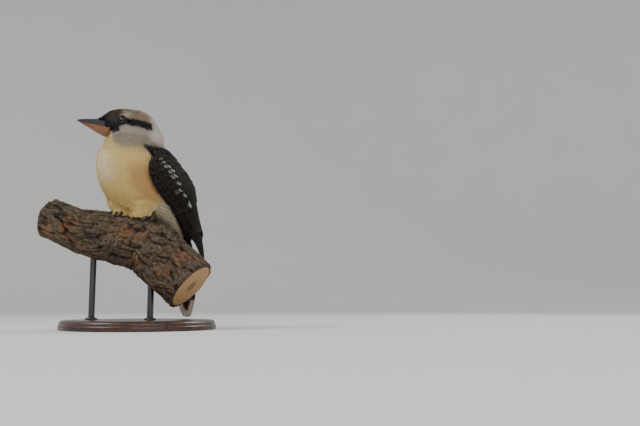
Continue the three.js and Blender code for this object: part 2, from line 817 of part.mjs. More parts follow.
let head = bodyFront.intersect(past(chinCut, gap / 2));
for (const side of sides) {
  head = head.add(lidRing(side.sign));
}
for (const side of sides) {
  const room = eyeRadius + gap;
  head = head.subtract(ballOf(vec(room, room, room), eyePlace(side.sign), 12));
}
addPart("head", head.subtract(mouthSlit()).subtract(past(billCut, 0)), "cream");

for (const side of sides) {
  const radii = vec(eyeRadius, eyeRadius, eyeRadius);
  addPart(`eye_${side.name}`, ballOf(radii, eyePlace(side.sign), 12), "eye");
}
addPart("bill_upper", billHalf(true).subtract(nostril(1)).subtract(nostril(-1)), "blackHorn");
addPart("bill_lower", billHalf(false), "paleHorn");

const flankRoom = joined([bodySolid(gap, 0, 12, 2, 26), thighSolid(1, gap), thighSolid(-1, gap)]);
for (const side of sides) {
  addPart(`wing_${side.name}`, wingSolid(side.sign).subtract(flankRoom), "brown");
  addPart(`leg_${side.name}`, legSolid(side.sign, 0), "cream");
  addPart(`foot_${side.name}`, footSolid(side.sign, 0), "scale");
}
addPart("tail", tailSolid(), "maroon");

const rodRoom = (origin) => joined(rodPlaces.map((along) => rodSolid(along, gap, origin)));
addPart("perch", perch.subtract(rodRoom(bird.position)), "bark");
addPart("stand_base", baseSolid().subtract(rodRoom(model.position)), "wood", model);
rodPlaces.forEach((along, i) => {
  addPart(`stand_rod_${i + 1}`, rodSolid(along, 0, model.position), "rod", model);
});

export default model;
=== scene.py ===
# A laughing kookaburra, life size, on a cut length of branch above a round display base.
# Shapes are worked out in millimetres round the perch's top and written to the meshes in metres.
import math

import bpy
import numpy as np
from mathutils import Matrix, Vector, kdtree, noise


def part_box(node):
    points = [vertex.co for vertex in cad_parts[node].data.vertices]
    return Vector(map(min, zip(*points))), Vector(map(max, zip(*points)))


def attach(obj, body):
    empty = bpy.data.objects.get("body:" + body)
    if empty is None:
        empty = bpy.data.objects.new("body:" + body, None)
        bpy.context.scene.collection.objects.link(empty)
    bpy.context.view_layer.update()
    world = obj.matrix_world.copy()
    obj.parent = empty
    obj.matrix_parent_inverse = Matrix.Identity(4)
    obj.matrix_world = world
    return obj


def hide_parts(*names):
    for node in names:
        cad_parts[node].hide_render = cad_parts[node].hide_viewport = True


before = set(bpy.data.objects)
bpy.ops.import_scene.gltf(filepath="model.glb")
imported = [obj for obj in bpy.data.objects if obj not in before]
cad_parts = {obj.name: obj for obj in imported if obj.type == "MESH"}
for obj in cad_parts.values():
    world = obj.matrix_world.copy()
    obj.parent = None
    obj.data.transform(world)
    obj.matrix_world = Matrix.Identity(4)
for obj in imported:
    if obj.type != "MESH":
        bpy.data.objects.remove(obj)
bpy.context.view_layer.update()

mm = 0.001
birdPlace = np.array([0.0, -8.0, 184.0])  # the top of the perch under the feet, above the floor
sharpAngle = 75  # degrees: vanes are lit as flat, not as rounded at their rims
headTurn = {"degrees": 30, "pivotY": -8, "from": 68, "to": 122}


# Small maths

def smooth(value, low, high):
    share = np.clip((np.asarray(value, float) - low) / (high - low), 0, 1)
    return share * share * (3 - 2 * share)


def blendOf(a, b, share):
    return a + (b - a) * share


def unit(vectors):
    return vectors / np.maximum(np.linalg.norm(vectors, axis=-1, keepdims=True), 1e-9)


def gridOf(rows, columns):
    return np.meshgrid(rows, columns, indexing="ij")


def roundTurn(count):
    return np.linspace(0, 2 * math.pi, count, endpoint=False)


# A smooth curve through points, read where t counts them
def curveAt(points, t, even=True):
    points = np.asarray(points, float)
    padded = np.vstack([2 * points[0] - points[1], points, 2 * points[-1] - points[-2]])
    t = np.clip(np.asarray(t, float), 0, len(points) - 1.00001)
    first = np.floor(t).astype(int)
    t = (t - first)[..., None]
    a, b, c, d = (padded[first + k] for k in range(4))
    into, out = (c - a) / 2, (d - b) / 2
    if not even:
        ab, bc, cd = (np.maximum(np.linalg.norm(q - p, axis=-1, keepdims=True), 1e-6) ** 0.5
                      for p, q in ((a, b), (b, c), (c, d)))
        into = ((b - a) / ab - (c - a) / (ab + bc) + (c - b) / bc) * bc
        out = ((c - b) / bc - (d - b) / (bc + cd) + (d - c) / cd) * bc
    return b + into * t + (3 * (c - b) - 2 * into - out) * t ** 2 + (2 * (b - c) + into + out) * t ** 3


# Turns vectors about the upright axis
def spun(vectors, turn):
    x, y = vectors[..., 0], vectors[..., 1]
    return np.stack([x * np.cos(turn) - y * np.sin(turn), x * np.sin(turn) + y * np.cos(turn),
                     vectors[..., 2]], -1)


# Turns points of the head and neck to the bird's right
def turned(points):
    turn = -math.radians(headTurn["degrees"]) * smooth(points[..., 2], headTurn["from"], headTurn["to"])
    pivot = np.array([0, headTurn["pivotY"], 0])
    return spun(points - pivot, turn) + pivot


def mirrored(points, side):
    return points * np.array([side, 1, 1])


def treeOf(points):
    tree = kdtree.KDTree(len(points))
    for n, point in enumerate(points):
        tree.insert(point, n)
    tree.balance()
    return tree


# Meshes

def partOf(points, triangles, **marks):
    points = np.asarray(points, float).reshape(-1, 3)
    return {"points": points, "triangles": np.asarray(triangles, int), **marks}


def joinParts(parts):
    whole = {}
    starts = np.cumsum([0] + [len(part["points"]) for part in parts[:-1]])
    for key in parts[0]:
        if key == "triangles":
            whole[key] = np.vstack([part[key] + start for part, start in zip(parts, starts)])
        else:
            whole[key] = np.concatenate([part[key] for part in parts])
    return whole


# Writes a part to a mesh object
def makeObject(name, part, finish, smoothShade=True):
    mesh = bpy.data.meshes.new(name)
    points, triangles = (part["points"] + birdPlace) * mm, part["triangles"]
    mesh.vertices.add(len(points))
    mesh.vertices.foreach_set("co", points.astype(np.float32).ravel())
    mesh.loops.add(triangles.size)
    mesh.polygons.add(len(triangles))
    mesh.polygons.foreach_set("loop_start", np.arange(0, triangles.size, 3, dtype=np.int32))
    mesh.polygons.foreach_set("vertices", triangles.astype(np.int32).ravel())
    if "uv" in part:
        layer = mesh.uv_layers.new(name="OFBake")
        corners = part["uv"][triangles]
        wraps = (np.ptp(corners[..., 0], 1) > 0.5)[:, None] & (corners[..., 0] < 0.5)
        corners[..., 0] = np.where(wraps, 0.995, corners[..., 0])  # no triangle crosses the whole map
        layer.data.foreach_set("uv", corners.astype(np.float32).ravel())
    for key in ("place", "vane"):
        if key in part:
            layer = mesh.attributes.new(key, "FLOAT_VECTOR", "POINT")
            layer.data.foreach_set("vector", part[key].astype(np.float32).ravel())
    mesh.update(calc_edges=True)
    mesh.polygons.foreach_set("use_smooth", np.full(len(triangles), smoothShade))
    mesh.set_sharp_from_angle(angle=math.radians(sharpAngle))
    mesh.materials.append(finish)
    made = bpy.data.objects.new(name, mesh)
    bpy.context.scene.collection.objects.link(made)
    return made


# A piece of the model rides on the body
def makePiece(name, part, finish, replaces=(), smoothShade=True):
    piece = makeObject(name, part, finish, smoothShade)
    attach(piece, "root")
    if replaces:
        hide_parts(*replaces)
    print(f"{name}: {len(part['triangles'])} triangles")


# Triangles between rows of points; closed joins the last column to the first
def gridTriangles(rows, columns, closed=False, start=0):
    i, j = gridOf(np.arange(rows - 1), np.arange(columns if closed else columns - 1))
    k = (j + 1) % columns
    a, b = start + i * columns + j, start + i * columns + k
    c, d = a + columns, b + columns
    return np.concatenate([np.stack([a, c, d], -1).reshape(-1, 3), np.stack([a, d, b], -1).reshape(-1, 3)])


def facingOut(points, triangles):
    corners = (points - points.mean(0))[triangles]
    volume = np.einsum("ij,ij->i", corners[:, 0], np.cross(corners[:, 1], corners[:, 2])).sum()
    return triangles[:, ::-1] if volume < 0 else triangles


# A grid flattened, with the middle of its first and last rows at its end
def withEnds(grid):
    return np.concatenate([grid.reshape(-1, grid.shape[-1]), grid[0].mean(0)[None], grid[-1].mean(0)[None]])


# Rings of points closed into a body, with a fan over each end
def ringBody(rings, **marks):
    rows, columns = rings.shape[:2]
    points = withEnds(rings)
    j = np.arange(columns)
    k = (j + 1) % columns
    top = (rows - 1) * columns
    first, last = np.full(columns, rows * columns), np.full(columns, rows * columns + 1)
    triangles = np.concatenate([gridTriangles(rows, columns, True), np.stack([first, j, k], -1),
                                np.stack([last, top + k, top + j], -1)])
    marks = {key: withEnds(grid) for key, grid in marks.items()}
    return partOf(points, facingOut(points, triangles), **marks)


# A round body along a path, with a radius for each point of it
def tubeBody(path, radii, sides):
    path, radii = np.asarray(path, float), np.asarray(radii, float)
    along = unit(np.gradient(path, axis=0))
    across = unit(np.cross(np.array([0.31, 0.17, 0.93]), along))  # from any way that no path here takes
    up = np.cross(along, across)
    turn = roundTurn(sides)[None, :, None]
    ring = across[:, None] * np.cos(turn) + up[:, None] * np.sin(turn)
    return ringBody(path[:, None] + ring * radii[:, None, None])


# Rings of a turned shape round an upright axis, from radii and heights
def latheRings(profile, middle, count):
    turn = roundTurn(count)
    return np.stack([np.stack([middle[0] + radius * np.cos(turn), middle[1] + radius * np.sin(turn),
                               np.full(count, middle[2] + height)], -1) for radius, height in profile])


# Surfaces

roundness = 0.92  # a little squarer than an ellipse


# A surface lofted through ribs: low point y, z, high point y, z, half-width, and how far up it is widest
def loftOf(ribs):
    ribs = np.array(ribs, float)
    lows, highs = ribs[:, [4, 0, 1]], ribs[:, [5, 2, 3]]

    def pointAt(along, angle):
        low, high = curveAt(lows, along), curveAt(highs, along)
        cos, sin = np.cos(np.radians(angle)), np.sin(np.radians(angle))
        reach = high[..., 0] + np.where(sin > 0, 1 - high[..., 0], high[..., 0]) * sin
        x = low[..., 0] * np.sign(cos) * np.abs(cos) ** roundness
        return np.stack([x, *(blendOf(low[..., k], high[..., k], reach) for k in (1, 2))], -1)

    return pointAt


# A surface kept as a fine grid with its directions. The lie runs towards falling along.
class Sheet:
    def __init__(self, pointAt, last, span, steps, closed=False, bulges=()):
        self.last, self.span, self.closed = last, span, closed
        points = pointAt(*gridOf(np.linspace(0, last, steps[0]), np.linspace(*span, steps[1])))
        for bulge in bulges:
            outward = self.directions(points)[2]
            points = points + outward * bulge(points, outward)[..., None]
        alongStep, acrossStep = last / (steps[0] - 1), (span[1] - span[0]) / (steps[1] - 1)
        speed = np.linalg.norm(self.slope(points, 0), axis=-1) / alongStep
        roundSpeed = np.linalg.norm(self.slope(points, 1), axis=-1) / acrossStep
        paces = np.stack([speed, roundSpeed], -1)
        self.data = np.concatenate([points, *self.directions(points), paces], -1)

    def slope(self, points, axis):
        if axis == 1 and self.closed:
            middle = points[:, :-1]
            turn = (np.roll(middle, -1, 1) - np.roll(middle, 1, 1)) / 2
            return np.concatenate([turn, turn[:, :1]], 1)
        return np.gradient(points, axis=axis)

    def directions(self, points):
        back, across = unit(-self.slope(points, 0)), self.slope(points, 1)
        outward = unit(np.cross(back, across))
        return back, np.cross(outward, back), outward

    # the point, lie, side, outward direction and millimetres for each step along and across
    def read(self, along, across):
        rows, columns = self.data.shape[:2]
        x = np.clip(along / self.last, 0, 1) * (rows - 1.001)
        share = (across - self.span[0]) / (self.span[1] - self.span[0])
        y = (share % 1 if self.closed else np.clip(share, 0, 1)) * (columns - 1.001)
        i, j = np.floor(x).astype(int), np.floor(y).astype(int)
        x, y = (x - i)[..., None], (y - j)[..., None]
        found = blendOf(blendOf(self.data[i, j], self.data[i + 1, j], x),
                        blendOf(self.data[i, j + 1], self.data[i + 1, j + 1], x), y)
        return (found[..., :3], unit(found[..., 3:6]), unit(found[..., 6:9]), unit(found[..., 9:12]),
                found[..., 12], found[..., 13])

    def at(self, along, across, lift=0.0):
        found = self.read(along, across)
        return found[0] + found[3] * np.asarray(lift)[..., None]

    # Roots about as far apart as spacing says, as along and across
    def scatter(self, spacing, alongs, acrosses, seed):
        rng = np.random.default_rng(seed)
        cells, tries = 90, 5
        a, b = gridOf(np.linspace(*alongs, cells), np.linspace(*acrosses, cells))
        speed, roundSpeed = self.read(a, b)[4:6]
        weight = (speed * roundSpeed / spacing(a) ** 2).ravel()
        cell = (alongs[1] - alongs[0]) * (acrosses[1] - acrosses[0]) / cells ** 2
        count = int(weight.sum() * cell * tries)
        pick = rng.choice(len(weight), count, p=weight / weight.sum())
        jitter = rng.uniform(-0.5, 0.5, (2, count))
        along = np.clip(a.ravel()[pick] + jitter[0] * (alongs[1] - alongs[0]) / cells, *alongs)
        across = np.clip(b.ravel()[pick] + jitter[1] * (acrosses[1] - acrosses[0]) / cells, *acrosses)
        points, room = self.at(along, across), spacing(along)
        tree = treeOf(points)
        alive = np.ones(count, bool)
        for n, point in enumerate(points):
            if alive[n]:
                for found in tree.find_range(point, room[n]):
                    alive[found[1]] = False
                alive[n] = True
        return along[alive], across[alive]


# The body as ribs from tail root to bill
bodyRibs = [
    (88, -45, 103, -38, 13, 0.5),
    (82, -42, 102.5, -17, 22, 0.5),
    (64, -33, 99, 8, 33, 0.5),
    (39, -16, 95, 32, 44, 0.5),
    (8, 1, 90.5, 54, 52, 0.48),
    (-22, 7, 79, 71, 55, 0.46),
    (-46, 21, 63.5, 87, 55, 0.45),
    (-61, 41, 50, 98.5, 52.5, 0.45),
    (-69, 62, 43, 107.5, 49, 0.45),
    (-70.5, 79, 38.5, 117.5, 44.5, 0.46),
    (-67.5, 95, 35, 127, 40.5, 0.48),
    (-62.5, 107, 30.5, 135.5, 36.5, 0.5),
    (-58, 116.5, 25, 144.5, 34, 0.5),
    (-54.5, 122, 19.5, 153.3, 32, 0.5),
    (-54, 123.7, 11, 162, 31, 0.5),
    (-54.3, 124.5, -1, 167.5, 30, 0.5),
    (-54.8, 125.1, -17, 169, 29, 0.5),
    (-55.6, 125.6, -33, 168.6, 26.5, 0.5),
    (-56.6, 126, -47, 165, 22.5, 0.5),
    (-57.8, 126.3, -56, 159, 18, 0.5),
    (-59, 126.5, -60, 149.5, 13.5, 0.5),
]
bodyLast, bodySteps = len(bodyRibs) - 1, (401, 241)
# The folded wings lie on the flanks, and past the rump keep on along ribs of their own
wingRibs = [
    (119, -90, 129, -80, 19, 0.12),
    (107, -74, 125, -56, 26, 0.14),
    (91, -56, 118, -26, 31, 0.16),
    (73, -37, 108, 4, 37, 0.17),
    (48, -20, 99, 31, 44.5, 0.31),
] + bodyRibs[4:12]
wingEdges = [(0, 84), (0, 84), (0, 83), (-9, 81), (-24, 80), (-31, 76), (-24, 70), (-19, 60), (-12, 48),
             (2, 36)]
wingLast, wingSpan, wingSteps = 9.2, (-0.15, 1.15), (260, 130)
thigh = {"radii": (20, 27, 20), "aside": 22, "y": -9, "forward": 5, "z": 20}
nape = {"dent": 4.2, "z": 111, "reach": 9, "from": 8, "to": 26}  # drawn in a little over the mantle


# How far a thigh's feathers bulge out past the belly
def thighBulge(points, outward):
    lift = np.zeros(points.shape[:-1])
    for side in (1, -1):
        middle = np.array([side * thigh["aside"], thigh["y"] + side * thigh["forward"], thigh["z"]])
        start, way = (points - middle) / thigh["radii"], outward / thigh["radii"]
        a, b, c = (way * way).sum(-1), (start * way).sum(-1), (start * start).sum(-1) - 1
        reach = (np.sqrt(np.maximum(b * b - a * c, 0)) - b) / a
        lift = np.maximum(lift, np.where(c < 0, reach, 0))
    return lift


def napeDent(points, outward):
    depth = nape["dent"] * np.exp(-((points[..., 2] - nape["z"]) / nape["reach"]) ** 2)
    return -depth * smooth(points[..., 1], nape["from"], nape["to"])


def wingPlace(along, across):
    edge = curveAt(wingEdges, along)
    return wingLoft(along, blendOf(edge[..., 0], edge[..., 1], across))


bodyLoft, wingLoft = loftOf(bodyRibs), loftOf(wingRibs)
bodySheet = Sheet(bodyLoft, bodyLast, (-180, 180), bodySteps, closed=True, bulges=[thighBulge, napeDent])
wingSheet = Sheet(wingPlace, wingLast, wingSpan, wingSteps)
print("surfaces ready")


# Finishes

def colour(red, green, blue):
    return tuple((v / 255) ** 2.2 for v in (red, green, blue)) + (1.0,)


# A socket that can be written in sums
class Wire:
    def __init__(self, finish, socket):
        self.finish, self.socket = finish, socket

    def maths(self, operation, *values):
        return self.finish.node("ShaderNodeMath", {"operation": operation}, dict(enumerate(values)))

    def __add__(self, other):
        return self.maths("ADD", self, other)

    def __sub__(self, other):
        return self.maths("SUBTRACT", self, other)

    def __rsub__(self, other):
        return self.maths("SUBTRACT", other, self)

    def __mul__(self, other):
        return self.maths("MULTIPLY", self, other)

    def __truediv__(self, other):
        return self.maths("DIVIDE", self, other)

    def __abs__(self):
        return self.maths("ABSOLUTE", self)

    def most(self, other):
        return self.maths("MAXIMUM", self, other)

    def wave(self):
        return self.maths("SINE", self)

    __radd__ = __add__
    __rmul__ = __mul__


class Finish:
    def __init__(self, name, **fixed):
        self.material = bpy.data.materials.new(name)
        self.material.use_nodes = True
        self.tree = self.material.node_tree
        self.shader = self.tree.nodes["Principled BSDF"]
        for key, value in fixed.items():
            self.shader.inputs[key.replace("_", " ")].default_value = value

    # Any node: its settings first, then values or links for its sockets
    def node(self, kind, settings=None, sockets=None, output=0):
        made = self.tree.nodes.new(kind)
        for key, value in (settings or {}).items():
            setattr(made, key, value)
        for key, value in (sockets or {}).items():
            if isinstance(value, Wire):
                self.tree.links.new(value.socket, made.inputs[key])
            else:
                made.inputs[key].default_value = value
        return Wire(self, made.outputs[output])

    def feed(self, **wires):
        for key, wire in wires.items():
            self.tree.links.new(wire.socket, self.shader.inputs[key.replace("_", " ")])
        return self.material

    # a vector that the mesh carries, whole and as its three values
    def attribute(self, name):
        vector = self.node("ShaderNodeAttribute", {"attribute_name": name}, output="Vector")
        values = self.node("ShaderNodeSeparateXYZ", {}, {0: vector}).socket.node.outputs
        return vector, *(Wire(self, socket) for socket in values)

    def objectPlace(self):
        return self.node("ShaderNodeTexCoord", output="Object")

    def scaled(self, vector, scales):
        return self.node("ShaderNodeVectorMath", {"operation": "MULTIPLY"}, {0: vector, 1: scales})

    def noise(self, vector, scale, detail=3.0, roughness=0.55, distortion=0.0):
        return self.node("ShaderNodeTexNoise", {}, {"Vector": vector, "Scale": scale, "Detail": detail,
                                                    "Roughness": roughness, "Distortion": distortion})

    def cells(self, vector, scale):
        return self.node("ShaderNodeTexVoronoi", {}, {"Vector": vector, "Scale": scale})

    def smooth(self, value, low, high):
        return self.node("ShaderNodeMapRange", {"interpolation_type": "SMOOTHSTEP"},
                         {"Value": value, "From Min": low, "From Max": high}, "Result")

    # colours laid one over another, each where its mask says
    def paint(self, ground, *layers):
        for tint, mask in layers:
            ground = self.node("ShaderNodeMix", {"data_type": "RGBA", "clamp_factor": True},
                               {0: mask, 6: ground, 7: tint}, 2)
        return ground

    def bump(self, height, strength, distance):
        return self.node("ShaderNodeBump", {}, {"Height": height, "Strength": strength, "Distance": distance})


# Below one inside an oval and above one outside it, for a point's distances from its middle
def oval(a, b, longSquare, highSquare):
    return a * a / longSquare + b * b / highSquare


# Plumage: skin and coat read the same marks, from the place on the body where each feather shows
tints = {name: colour(*shade) for name, shade in {
    "breast": (215, 187, 118),
    "breastSide": (232, 216, 178),
    "belly": (212, 182, 110),
    "flank": (180, 128, 72),
    "vent": (224, 208, 174),
    "bars": (112, 92, 68),
    "neck": (136, 128, 117),
    "throat": (222, 190, 122),
    "chin": (238, 230, 212),
    "cheek": (162, 154, 141),
    "crown": (182, 170, 148),
    "nape": (206, 198, 183),
    "brow": (126, 104, 80),
    "forehead": (74, 61, 49),
    # streaks on the neck and cap, and the cheek's painted shadow line
    "streakAndShadowLine": (86, 70, 56),
    "lores": (66, 62, 57),
    "mask": (14, 12, 11),
    "gape": (31, 33, 36),
    "gapeSkin": (150, 96, 60),
    "mantle": (11, 9, 9),
    "rump": (25, 20, 17),
    "shade": (0, 0, 0),
    "shine": (255, 255, 255),
}.items()}


def plumageFinish(name, skin=False):
    f = Finish(name, Roughness=0.88, Specular_IOR_Level=0.1)
    place, x, y, z = f.attribute("place")
    across, down, chance = f.attribute("vane")[1:]
    wander = f.noise(place, 0.06) - 0.5
    fine = f.noise(place, 0.3) - 0.5
    streaks = f.noise(f.scaled(place, (0.5, 0.12, 0.12)), 1.0)
    aside = abs(x)
    jag = fine * 5 + (chance - 0.5) * 2.5  # marks end feather by feather
    raggedY, raggedZ = y + jag, z + jag
    low = z + wander * 14 + fine * 4
    flank = f.smooth(aside + wander * 18, 31, 47) * f.smooth(low, 84, 58) * f.smooth(low, -6, 16)
    # the vent, grey-buff with fine bars
    vent = f.smooth(y + wander * 10, -6, 18) * f.smooth(low, 34, 18)
    bars = (z * 1.7 + y * 0.4 + fine * 3 + wander * 9).wave()
    # the neck, grey and faintly streaked, and the throat
    neck = f.smooth(low, 88, 110)
    throat = f.smooth(z, 131, 124) * f.smooth(low, 86, 108) * f.smooth(y + wander * 6, -42, -52)
    # the cheek, with a thin painted shadow line along it, as under a feather edge
    cheek = f.smooth(raggedZ, 120, 126) * f.smooth(y + wander * 4, -52, -46)
    line = f.smooth(abs(z - 122.5 + fine * 2), 1.6, 0.4) * f.smooth(y, -48, -42) * f.smooth(y, -12, -18)
    # the crown, pale to the back, browner over the band and dark over the bill
    crown = f.smooth(raggedZ, 143, 147)
    nape = f.smooth(y + fine * 8, 4, 16) * f.smooth(low, 108, 118)
    brow = crown * f.smooth(raggedZ + wander * 8, 165, 152)
    brow = brow * f.smooth(y, -30, -20) * f.smooth(y + wander * 8, 18, 0)
    cap = f.smooth(raggedZ, 154, 160) * f.smooth(y + wander * 10, 8, -14)
    forehead = f.smooth(raggedY + wander * 10, -28, -42) * f.smooth(raggedZ, 143, 148)
    # mottled lores, and dark bare skin under them, up to a slanting line
    lores = f.smooth(raggedY, -34, -40) * f.smooth(z + fine * 3, 133, 136) * f.smooth(raggedZ, 151, 148)
    gapeTop = 136.5 - (y + 37) * 0.46
    gape = f.smooth(raggedY, -35.5, -38.5) * f.smooth(z + fine * 2, 126, 128)
    gape = gape * f.smooth(raggedZ - gapeTop, 1, -1)
    gapeSkin = f.smooth(y, -50.5, -52.5) * f.smooth(abs(z - 128), 6.2, 4.6) * f.smooth(aside, 8, 11)
    # the black band from the eye back over the ear, widest at its end
    middle = 142.4 - f.smooth(y, -20, 14) * 3.4
    half = 5.6 + f.smooth(y, -22, 10) * 1.2
    band = f.smooth(abs(raggedZ - middle), half + 1.2, half - 1.2)
    band = band * f.smooth(raggedY, 16, 12) * f.smooth(y, -44, -38)
    eyePatch = f.smooth(oval(y + 32.6, z - 144.2, 80, 62) + fine * 0.4, 1.15, 0.8)
    band = band.most(eyePatch) * f.smooth(aside, 9, 13)
    # mantle, back and rump, down to a line from the flank to the tail
    flankLine = z + y * 0.55 + y * y * 0.0035 + fine * 6
    mantle = f.smooth(raggedZ, 109, 105) * f.smooth(raggedY, -9, -4) * f.smooth(flankLine, 26, 31)
    marks = [
        ("breastSide", f.smooth(aside + wander * 14, 30, 4) * f.smooth(low, 30, 70) * 0.8),
        ("belly", f.smooth(low, 60, 24) * 0.85),
        ("flank", flank * 0.66),
        ("vent", vent),
        ("bars", vent * f.smooth(bars, -0.1, 0.8) * 0.45),
        ("neck", neck * 0.9),
        ("streakAndShadowLine", neck * f.smooth(streaks, 0.54, 0.74) * 0.3),
        ("throat", throat * 0.8),
        ("chin", throat * f.smooth(aside, 17, 5) * 0.65),
        ("cheek", cheek),
        # a painted shadow line along the cheek, in the streak colour
        ("streakAndShadowLine", line * 0.45),
        ("crown", crown),
        ("nape", nape * 0.85),
        ("brow", brow * 0.8),
        ("streakAndShadowLine", cap * f.smooth(streaks, 0.36, 0.58) * 0.8),
        ("forehead", forehead),
        ("mask", forehead * f.smooth(streaks + fine * 0.3, 0.44, 0.62) * 0.6),
        ("lores", lores),
        ("mask", lores * f.smooth(fine, -0.02, 0.14) * 0.7),
        ("gape", gape),
        ("gapeSkin", gapeSkin),
        ("mask", band),
        ("mantle", mantle),
        ("rump", mantle * f.smooth(low, 40, 10) * 0.7),
        ("shade", chance * 0.14),  # each feather differs a little
    ]
    if not skin:  # feathers get a faint painted highlight at their tips, and painted shade under the next ones
        marks += [("shine", f.smooth(down, 0.5, 1.0) * 0.03), ("shade", f.smooth(down, 0.6, 0.0) * 0.16)]
    tint = f.paint(tints["breast"], *((tints[name], mask) for name, mask in marks))
    barbs = (down * 90 + abs(across) * 40).wave()
    return f.feed(Base_Color=tint, Normal=f.bump(barbs, 0.12, 0.0002))


# Flight feathers and coverts: across and down run over the vane, and place holds how strong
# its spot, its black tone and its paler edge are
def wingFinish():
    f = Finish("wingFeather", Roughness=0.72, Specular_IOR_Level=0.14)
    vane, across, down, chance = f.attribute("vane")
    spot, tone, edge = f.attribute("place")[1:]
    ragged = f.noise(f.scaled(vane, (2.0, 14.0, 60.0)), 1.0) - 0.5
    rim = f.smooth(abs(across) + ragged * 0.5, 0.5, 1.05).most(f.smooth(down + ragged * 0.2, 0.86, 1.0))
    tip = oval(across, down - 0.88, 0.42, 0.014)
    tint = f.paint(colour(21, 17, 15),
                   (colour(11, 10, 12), tone),
                   (colour(38, 30, 25), f.smooth(chance + ragged * 0.5, 0.5, 1.0) * (1 - tone) * 0.7),
                   (colour(74, 62, 51), rim * edge),
                   (colour(144, 155, 152), f.smooth(tip + ragged * 2.4, 1.5, 0.4) * spot),
                   (colour(9, 7, 7), f.smooth(abs(across), 0.05, 0.02) * 0.7))  # the shaft
    barbs = (down * 260 - abs(across) * 60).wave()
    return f.feed(Base_Color=tint, Normal=f.bump(barbs, 0.2, 0.0002))


def tailFinish():
    f = Finish("tailFeather", Roughness=0.66, Specular_IOR_Level=0.3)
    vane, across, down = f.attribute("vane")[:3]
    ragged = f.noise(f.scaled(vane, (2.0, 7.0, 30.0)), 1.0, 2.0) - 0.5
    bars = (down * 50 + ragged * 3 + abs(across) * 0.9).wave()
    tint = f.paint(colour(36, 24, 21),
                   (colour(112, 66, 42), f.smooth(bars, 0.1, 0.7)),
                   (colour(226, 216, 200), f.smooth(down + ragged * 0.04, 0.9, 0.93)),
                   (colour(16, 11, 10), f.smooth(abs(across), 0.06, 0.02) * 0.6))
    barbs = (down * 320 - abs(across) * 60).wave()
    return f.feed(Base_Color=tint, Normal=f.bump(barbs, 0.2, 0.0002))


billRoot = -58.8  # how far to the front the bill starts


def hornFinish(name, look):
    f = Finish(name, Roughness=0.38, Coat_Weight=0.15, Coat_Roughness=0.25)
    place, _, y, z = f.attribute("place")
    grain = f.noise(f.scaled(place, (0.5, 0.08, 0.9)), 1.0, 4.0)
    cloud = f.noise(place, 0.12) - 0.5
    mouth = 136.6 - (y - billRoot) * 0.195
    tint = f.paint(look["root"],
                   (look["tip"], f.smooth(y + cloud * 10, *look["fade"])),
                   (look["edge"], f.smooth(abs(z - mouth) + cloud * 3, look["edgeWidth"], 0.5) * 0.8),
                   # grain streaks; on the upper bill their lighter blue-grey is partly a painted sheen
                   (look["grain"], f.smooth(grain + cloud * 0.3, 0.42, 0.72) * 0.5),
                   (colour(5, 5, 5), f.smooth(oval(y + 65.2, z - 146.5, 5, 1.6), 1.2, 0.6)))  # the nostril
    return f.feed(Base_Color=tint, Roughness=0.3 + grain * 0.2, Normal=f.bump(grain, 0.25, 0.0003))


def scaleFinish():
    f = Finish("footScales", Roughness=0.55)
    vector = f.objectPlace()
    cell = f.cells(vector, 900.0)
    tint = f.paint(colour(104, 98, 76),
                   (colour(66, 62, 52), f.smooth(f.noise(vector, 220.0), 0.35, 0.7)),
                   (colour(34, 30, 26), f.smooth(cell, 0.45, 0.8)))
    return f.feed(Base_Color=tint, Roughness=0.45 + cell * 0.25, Normal=f.bump(1 - cell, 0.4, 0.0005))


def clawFinish():
    f = Finish("claw", Roughness=0.3)
    grain = f.noise(f.objectPlace(), 700.0)
    tint = f.paint(colour(30, 27, 26), (colour(58, 52, 48), grain))
    return f.feed(Base_Color=tint, Roughness=0.25 + grain * 0.2)


# The eye: a dark iris round the pupil, under a clear gloss. place holds the distance from the axis.
def eyeFinish():
    f = Finish("eyeball", Roughness=0.05, Coat_Weight=0.25, Coat_Roughness=0.02, Specular_IOR_Level=0.4)
    place, reach = f.attribute("place")[:2]
    rays = f.noise(f.scaled(place, (0.3, 1.4, 1.4)), 1.6, 4.0)
    iris = f.paint(colour(34, 19, 10), (colour(13, 8, 5), f.smooth(rays, 0.35, 0.65)))
    tint = f.paint(colour(4, 3, 3),
                   (iris, f.smooth(reach, 3.0, 3.5)),
                   (colour(12, 8, 7), f.smooth(reach, 5.0, 5.8)))
    return f.feed(Base_Color=tint)


def lidFinish():
    f = Finish("lid", Roughness=0.6)
    folds = f.noise(f.objectPlace(), 900.0)
    tint = f.paint(colour(20, 17, 16), (colour(40, 34, 31), f.smooth(folds, 0.4, 0.7)))
    return f.feed(Base_Color=tint, Normal=f.bump(folds, 0.5, 0.0004))


def barkFinish():
    f = Finish("bark", Roughness=0.92, Specular_IOR_Level=0.2)
    vector, depth = f.objectPlace(), f.attribute("place")[1]
    cloud = f.noise(vector, 22.0, 5.0, 0.6)
    grit = f.noise(vector, 180.0, 6.0, 0.65)
    tint = f.paint(colour(74, 64, 53),
                   (colour(112, 99, 84), f.smooth(grit, 0.4, 0.7)),
                   (colour(134, 92, 58), f.smooth(cloud, 0.5, 0.68) * 0.55),
                   # darker deep in the furrows: painted shade
                   (colour(34, 27, 23), f.smooth(depth, 0.5, -2.2)),
                   (colour(150, 140, 126), f.smooth(depth, 1.6, 3.4) * f.smooth(grit, 0.45, 0.6) * 0.6))
    return f.feed(Base_Color=tint, Normal=f.bump(grit, 0.7, 0.0015))


def sawnFinish():
    f = Finish("sawnWood", Roughness=0.75)
    place, reach = f.attribute("place")[:2]
    rings = (reach * 2.1 + f.noise(place, 0.09) * 7).wave()
    tint = f.paint(colour(198, 160, 112),
                   (colour(150, 108, 66), f.smooth(rings, -0.2, 0.9)),
                   (colour(112, 76, 48), f.smooth(reach, 14, 6) * 0.7),
                   (colour(52, 38, 28), f.smooth(reach, 37, 40)))
    return f.feed(Base_Color=tint, Normal=f.bump(rings, 0.15, 0.0004))


